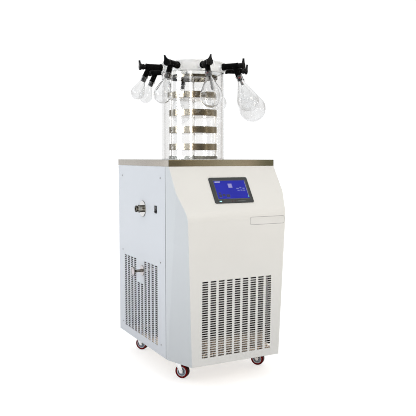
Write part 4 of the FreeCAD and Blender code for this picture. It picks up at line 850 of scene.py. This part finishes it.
def bent_plate(name, x0, x1, z0, z1, r, h, mat, rim=None):
    """Thin sheet that follows the shell. With rim, only a border of that width."""
    def outline(ins):
        pts = []
        w, hh = (x1 - x0) / 2 - ins, (z1 - z0) / 2 - ins
        rr = max(r - ins, 0.3)
        cx, cz = (x0 + x1) / 2, (z0 + z1) / 2
        corners = ((1, 1, 0), (-1, 1, 90), (-1, -1, 180), (1, -1, 270))
        for q, (sx, sz, a0) in enumerate(corners):
            for k in range(6):
                a = math.radians(a0 + 90 * k / 5)
                pts.append((cx + sx * (w - rr) + rr * math.cos(a), cz + sz * (hh - rr) + rr * math.sin(a)))
            nx = corners[(q + 1) % 4]
            a, b = pts[-1], (cx + nx[0] * (w - rr) + rr * math.cos(math.radians(nx[2])), cz + nx[1] * (hh - rr) + rr * math.sin(math.radians(nx[2])))
            for k in range(1, 10):
                pts.append((a[0] + (b[0] - a[0]) * k / 10, a[1] + (b[1] - a[1]) * k / 10))
        return pts
    verts, faces = [], []
    if rim:
        o, i = outline(0.0), outline(rim)
        for p in (o, i):
            verts += [shell_point(x, z, h) for x, z in p]
        n = len(o)
        for k in range(n):
            k2 = (k + 1) % n
            faces.append((k, k2, n + k2, n + k))
    else:
        nz, nx_ = 14, 24
        for j in range(nz + 1):
            for i in range(nx_ + 1):
                verts.append(shell_point(x0 + (x1 - x0) * i / nx_, z0 + (z1 - z0) * j / nz, h))
        for j in range(nz):
            for i in range(nx_):
                a = j * (nx_ + 1) + i
                faces.append((a, a + 1, a + nx_ + 2, a + nx_ + 1))
    return new_object(name, verts, faces, mat, True, "cabinet")


notice = Mat("notice_film", (0.80, 0.80, 0.775), 0.30, Specular_IOR_Level=0.5)
notice.vary((0.690, 0.685, 0.660), (0.665, 0.660, 0.636), 12.0)
notice.bump(notice.noise(900.0, 2.0), 0.00003, 0.3)
ink = painted("notice_ink", (0.20, 0.20, 0.20), 0.5)
bent_plate("notice_plate", 60.5, 237.5, 704.5, 736.5, 3.0, 0.008, notice)
bent_plate("notice_border", 59.0, 239.0, 703.0, 738.0, 8.0, 0.015, ink, 1.4)

# ------------------------------------------------------------------ painted shade: a dark strip in the joint between the front shell and each side panel, standing for the shadow in the seam
seam_shade_mat = rubber("seam_shade_strip", (0.085, 0.090, 0.097), 0.6)
for side, x in (("left", -269.0), ("right", 269.0)):
    verts, faces = [], []
    out = -0.02 if x < 0 else 0.02
    for z in (101.0, 958.0):
        for y in (-280.6, -276.9):
            verts.append(row(x + out, y, z))
    faces.append((0, 1, 3, 2))
    new_object("seam_shade_strip_" + side, verts, faces, seam_shade_mat, False, "cabinet")

# ------------------------------------------------------------------ rocker marks: a bar above, a ring below
mark_white = painted("mark_white", (0.72, 0.73, 0.73), 0.45)


def on_rocker(face):
    """Places points on one face of the rocker: local x along Y, y along the face, h out of it."""
    top = face == "up"
    a, b = Vector((-5.6, 0.0)), Vector((-8.6, 11.4 if top else -11.4))
    t = (b - a).normalized()
    n = Vector((-abs(t.y), t.x * (1 if t.y > 0 else -1)))
    rot = math.radians(11.0)

    def f(x, y, h):
        px, pz = a.x + t.x * y + n.x * h, a.y + t.y * y + n.y * h
        # turned about +Y by 11 degrees
        qx = px * math.cos(rot) + pz * math.sin(rot)
        qz = -px * math.sin(rot) + pz * math.cos(rot)
        return row(-265.0 + qx, -172.0 + x, 763.0 + qz)
    return f


plate("rocker_bar", [(0.0, 6.2, 0.9, 5.0, 0.3)], mark_white, -0.05, 0.05, on_rocker("up"), "power_rocker")


def ring_mark(name, place, r0, r1, cy, h, mat, body):
    verts, faces = [], []
    n = 28
    for r in (r0, r1):
        for k in range(n):
            a = 2 * math.pi * k / n
            verts.append(place(r * math.cos(a), cy + r * math.sin(a), h))
    for k in range(n):
        k2 = (k + 1) % n
        faces.append((k, k2, n + k2, n + k))
    return new_object(name, verts, faces, mat, True, body)


ring_mark("rocker_ring", on_rocker("down"), 1.8, 2.5, 6.2, 0.05, mark_white, "power_rocker")

# ------------------------------------------------------------------ floor, world and lights
fl = bpy.data.meshes.new("floor")
fl.from_pydata([(-40, -40, 0), (40, -40, 0), (40, 40, 0), (-40, 40, 0)], [], [(0, 1, 2, 3)])
floor = bpy.data.objects.new("floor", fl)
scene.collection.objects.link(floor)
fm = Mat("floor_pale", (0.50, 0.50, 0.50), 0.8, Specular_IOR_Level=0.1)
seen = fm.n("LightPath").outputs["Is Camera Ray"]
pale = fm.mix(fm.remap(fm.noise(1.5, 3.0), 0.3, 0.7), (0.50, 0.50, 0.50), (0.485, 0.485, 0.485))
fm.color(fm.mix(seen, (0.80, 0.80, 0.81), pale))
fm.b.inputs["Emission Color"].default_value = (1, 1, 1, 1)
fm.link(fm.remap(seen, 0.0, 1.0, 0.14, FLOOR_GLOW), fm.b.inputs["Emission Strength"])
fl.materials.append(fm.m)
floor.location.z = -0.0005

world = bpy.data.worlds.new("studio")
scene.world = world
world.use_nodes = True
wn = world.node_tree
bg = wn.nodes["Background"]


def wnode(kind, **props):
    x = wn.nodes.new("ShaderNode" + kind)
    for k, v in props.items():
        setattr(x, k, v)
    return x


tc = wnode("TexCoord")
sp = wnode("SeparateXYZ")
wn.links.new(tc.outputs["Generated"], sp.inputs[0])
at = wnode("Math", operation="ARCTAN2")
wn.links.new(sp.outputs[0], at.inputs[0])
wn.links.new(sp.outputs[1], at.inputs[1])
turns = wnode("MapRange")
turns.inputs["From Min"].default_value = -math.pi
turns.inputs["From Max"].default_value = math.pi
wn.links.new(at.outputs[0], turns.inputs["Value"])
ramp = wnode("ValToRGB")
wn.links.new(turns.outputs[0], ramp.inputs[0])
cr = ramp.color_ramp
cr.interpolation = "EASE"
# the room round the object, low down: 0.5 is behind it (+Y), 0.75 its right (+X), 0 and 1 its front (-Y), 0.25 its left (-X)
for p, c in WALLS:
    e = cr.elements[0] if p == WALLS[0][0] else cr.elements.new(p)
    e.position = p
    e.color = (*c, 1)
cr.elements.remove(cr.elements[-1])
# higher up the room is all soft white
el = wnode("MapRange")
el.inputs["From Min"].default_value = 0.30
el.inputs["From Max"].default_value = 0.70
wn.links.new(sp.outputs[2], el.inputs["Value"])
mx = wnode("Mix", data_type="RGBA")
wn.links.new(el.outputs[0], mx.inputs["Factor"])
wn.links.new(ramp.outputs[0], mx.inputs[6])
mx.inputs[7].default_value = (*CEILING, 1)
wn.links.new(mx.outputs[2], bg.inputs["Color"])
bg.inputs["Strength"].default_value = 1.0
# the backdrop itself is plain white
white = wnode("Background")
white.inputs["Color"].default_value = (1.08, 1.08, 1.08, 1)
lp = wnode("LightPath")
pick = wnode("MixShader")
wn.links.new(lp.outputs["Is Camera Ray"], pick.inputs[0])
wn.links.new(bg.outputs[0], pick.inputs[1])
wn.links.new(white.outputs[0], pick.inputs[2])
wn.links.new(pick.outputs[0], wn.nodes["World Output"].inputs["Surface"])


def area(name, loc, target, size, power, color, size_y=None):
    ld = bpy.data.lights.new(name, "AREA")
    ld.energy = power
    ld.color = color
    ld.shape = "RECTANGLE" if size_y else "SQUARE"
    ld.size = size
    if size_y:
        ld.size_y = size_y
    o = bpy.data.objects.new(name, ld)
    scene.collection.objects.link(o)
    o.location = loc
    o.rotation_euler = (Vector(target) - Vector(loc)).to_track_quat("-Z", "Y").to_euler()
    o.visible_camera = False
    return o


area("key_front", (0.5, -3.3, 2.6), (0.0, -0.3, 0.8), 1.6, 42, (1.0, 0.96, 0.89))
area("key_left", (-3.0, 0.9, 2.6), (-0.3, 0.0, 0.8), 1.6, 28, (0.89, 0.95, 1.0))

# tall soft windows that only the clear parts mirror
clear_parts = bpy.data.collections.new("clear_parts")
small_glass = bpy.data.collections.new("small_glass")
scene.collection.children.link(clear_parts)
scene.collection.children.link(small_glass)
for o in CLEAR_PIECES:
    (clear_parts if o.name == "chamber_tube_clear" else small_glass).objects.link(o)


def window(name, azimuth, width, low, high, radiance, seen_in, dist=3.3):
    """Upright light at an azimuth in degrees from the front towards the left, mirrored only by one group of parts."""
    a = math.radians(azimuth)
    c = Vector((AXIS.x - dist * math.sin(a), AXIS.y - dist * math.cos(a), (low + high) / 2))
    size = 2 * dist * math.tan(math.radians(width / 2))
    o = area(name, c, (AXIS.x, AXIS.y, (low + high) / 2), size, radiance * math.pi * size * (high - low), (1.0, 1.0, 1.0), high - low)
    o.light_linking.receiver_collection = seen_in
    return o


window("window_left", 77.5, 17.5, 0.6, 2.3, 14.0, clear_parts)
window("window_soft", 52.0, 30.0, 0.6, 2.3, 0.9, clear_parts)
window("window_edge", 109.0, 4.5, 0.6, 2.3, 5.0, clear_parts)
window("window_mid", 34.6, 7.2, 0.6, 2.3, 7.0, clear_parts)
# paler ones for the small round glass
for o in (window("window_glass_left", 77.5, 17.5, 0.6, 2.3, 4.0, small_glass), window("window_glass_mid", 34.6, 7.2, 0.6, 2.3, 3.2, small_glass),
          bpy.data.objects["key_front"], bpy.data.objects["key_left"]):
    o.visible_transmission = False      # mirrored, but not gathered through the glass
# and two that only the steel top does
steel_parts = bpy.data.collections.new("steel_parts")
scene.collection.children.link(steel_parts)
steel_parts.objects.link(nodes["top_plate"])
window("window_back_left", 152.0, 26.0, 0.7, 1.6, 0.75, steel_parts)
window("window_front_right", -30.0, 6.0, 0.7, 1.6, 0.8, steel_parts)

# what the vents let in, on the base pan
pan_parts = bpy.data.collections.new("pan_parts")
scene.collection.children.link(pan_parts)
pan_parts.objects.link(nodes["chassis_frame"])
pan_parts.objects.link(nodes["condenser"])
pan_light = area("pan_light", (-0.04, -0.24, 0.47), (-0.04, -0.17, 0.10), 0.30, 4.0, (1.0, 0.97, 0.93))
pan_light.light_linking.receiver_collection = pan_parts

scene.view_settings.view_transform = "Standard"
scene.view_settings.look = "None"
scene.view_settings.exposure = 0.0
scene.cycles.filter_width = 1.0
scene.cycles.denoising_prefilter = "FAST"
scene.cycles.max_bounces = 16
scene.cycles.transmission_bounces = 14
scene.cycles.transparent_max_bounces = 24
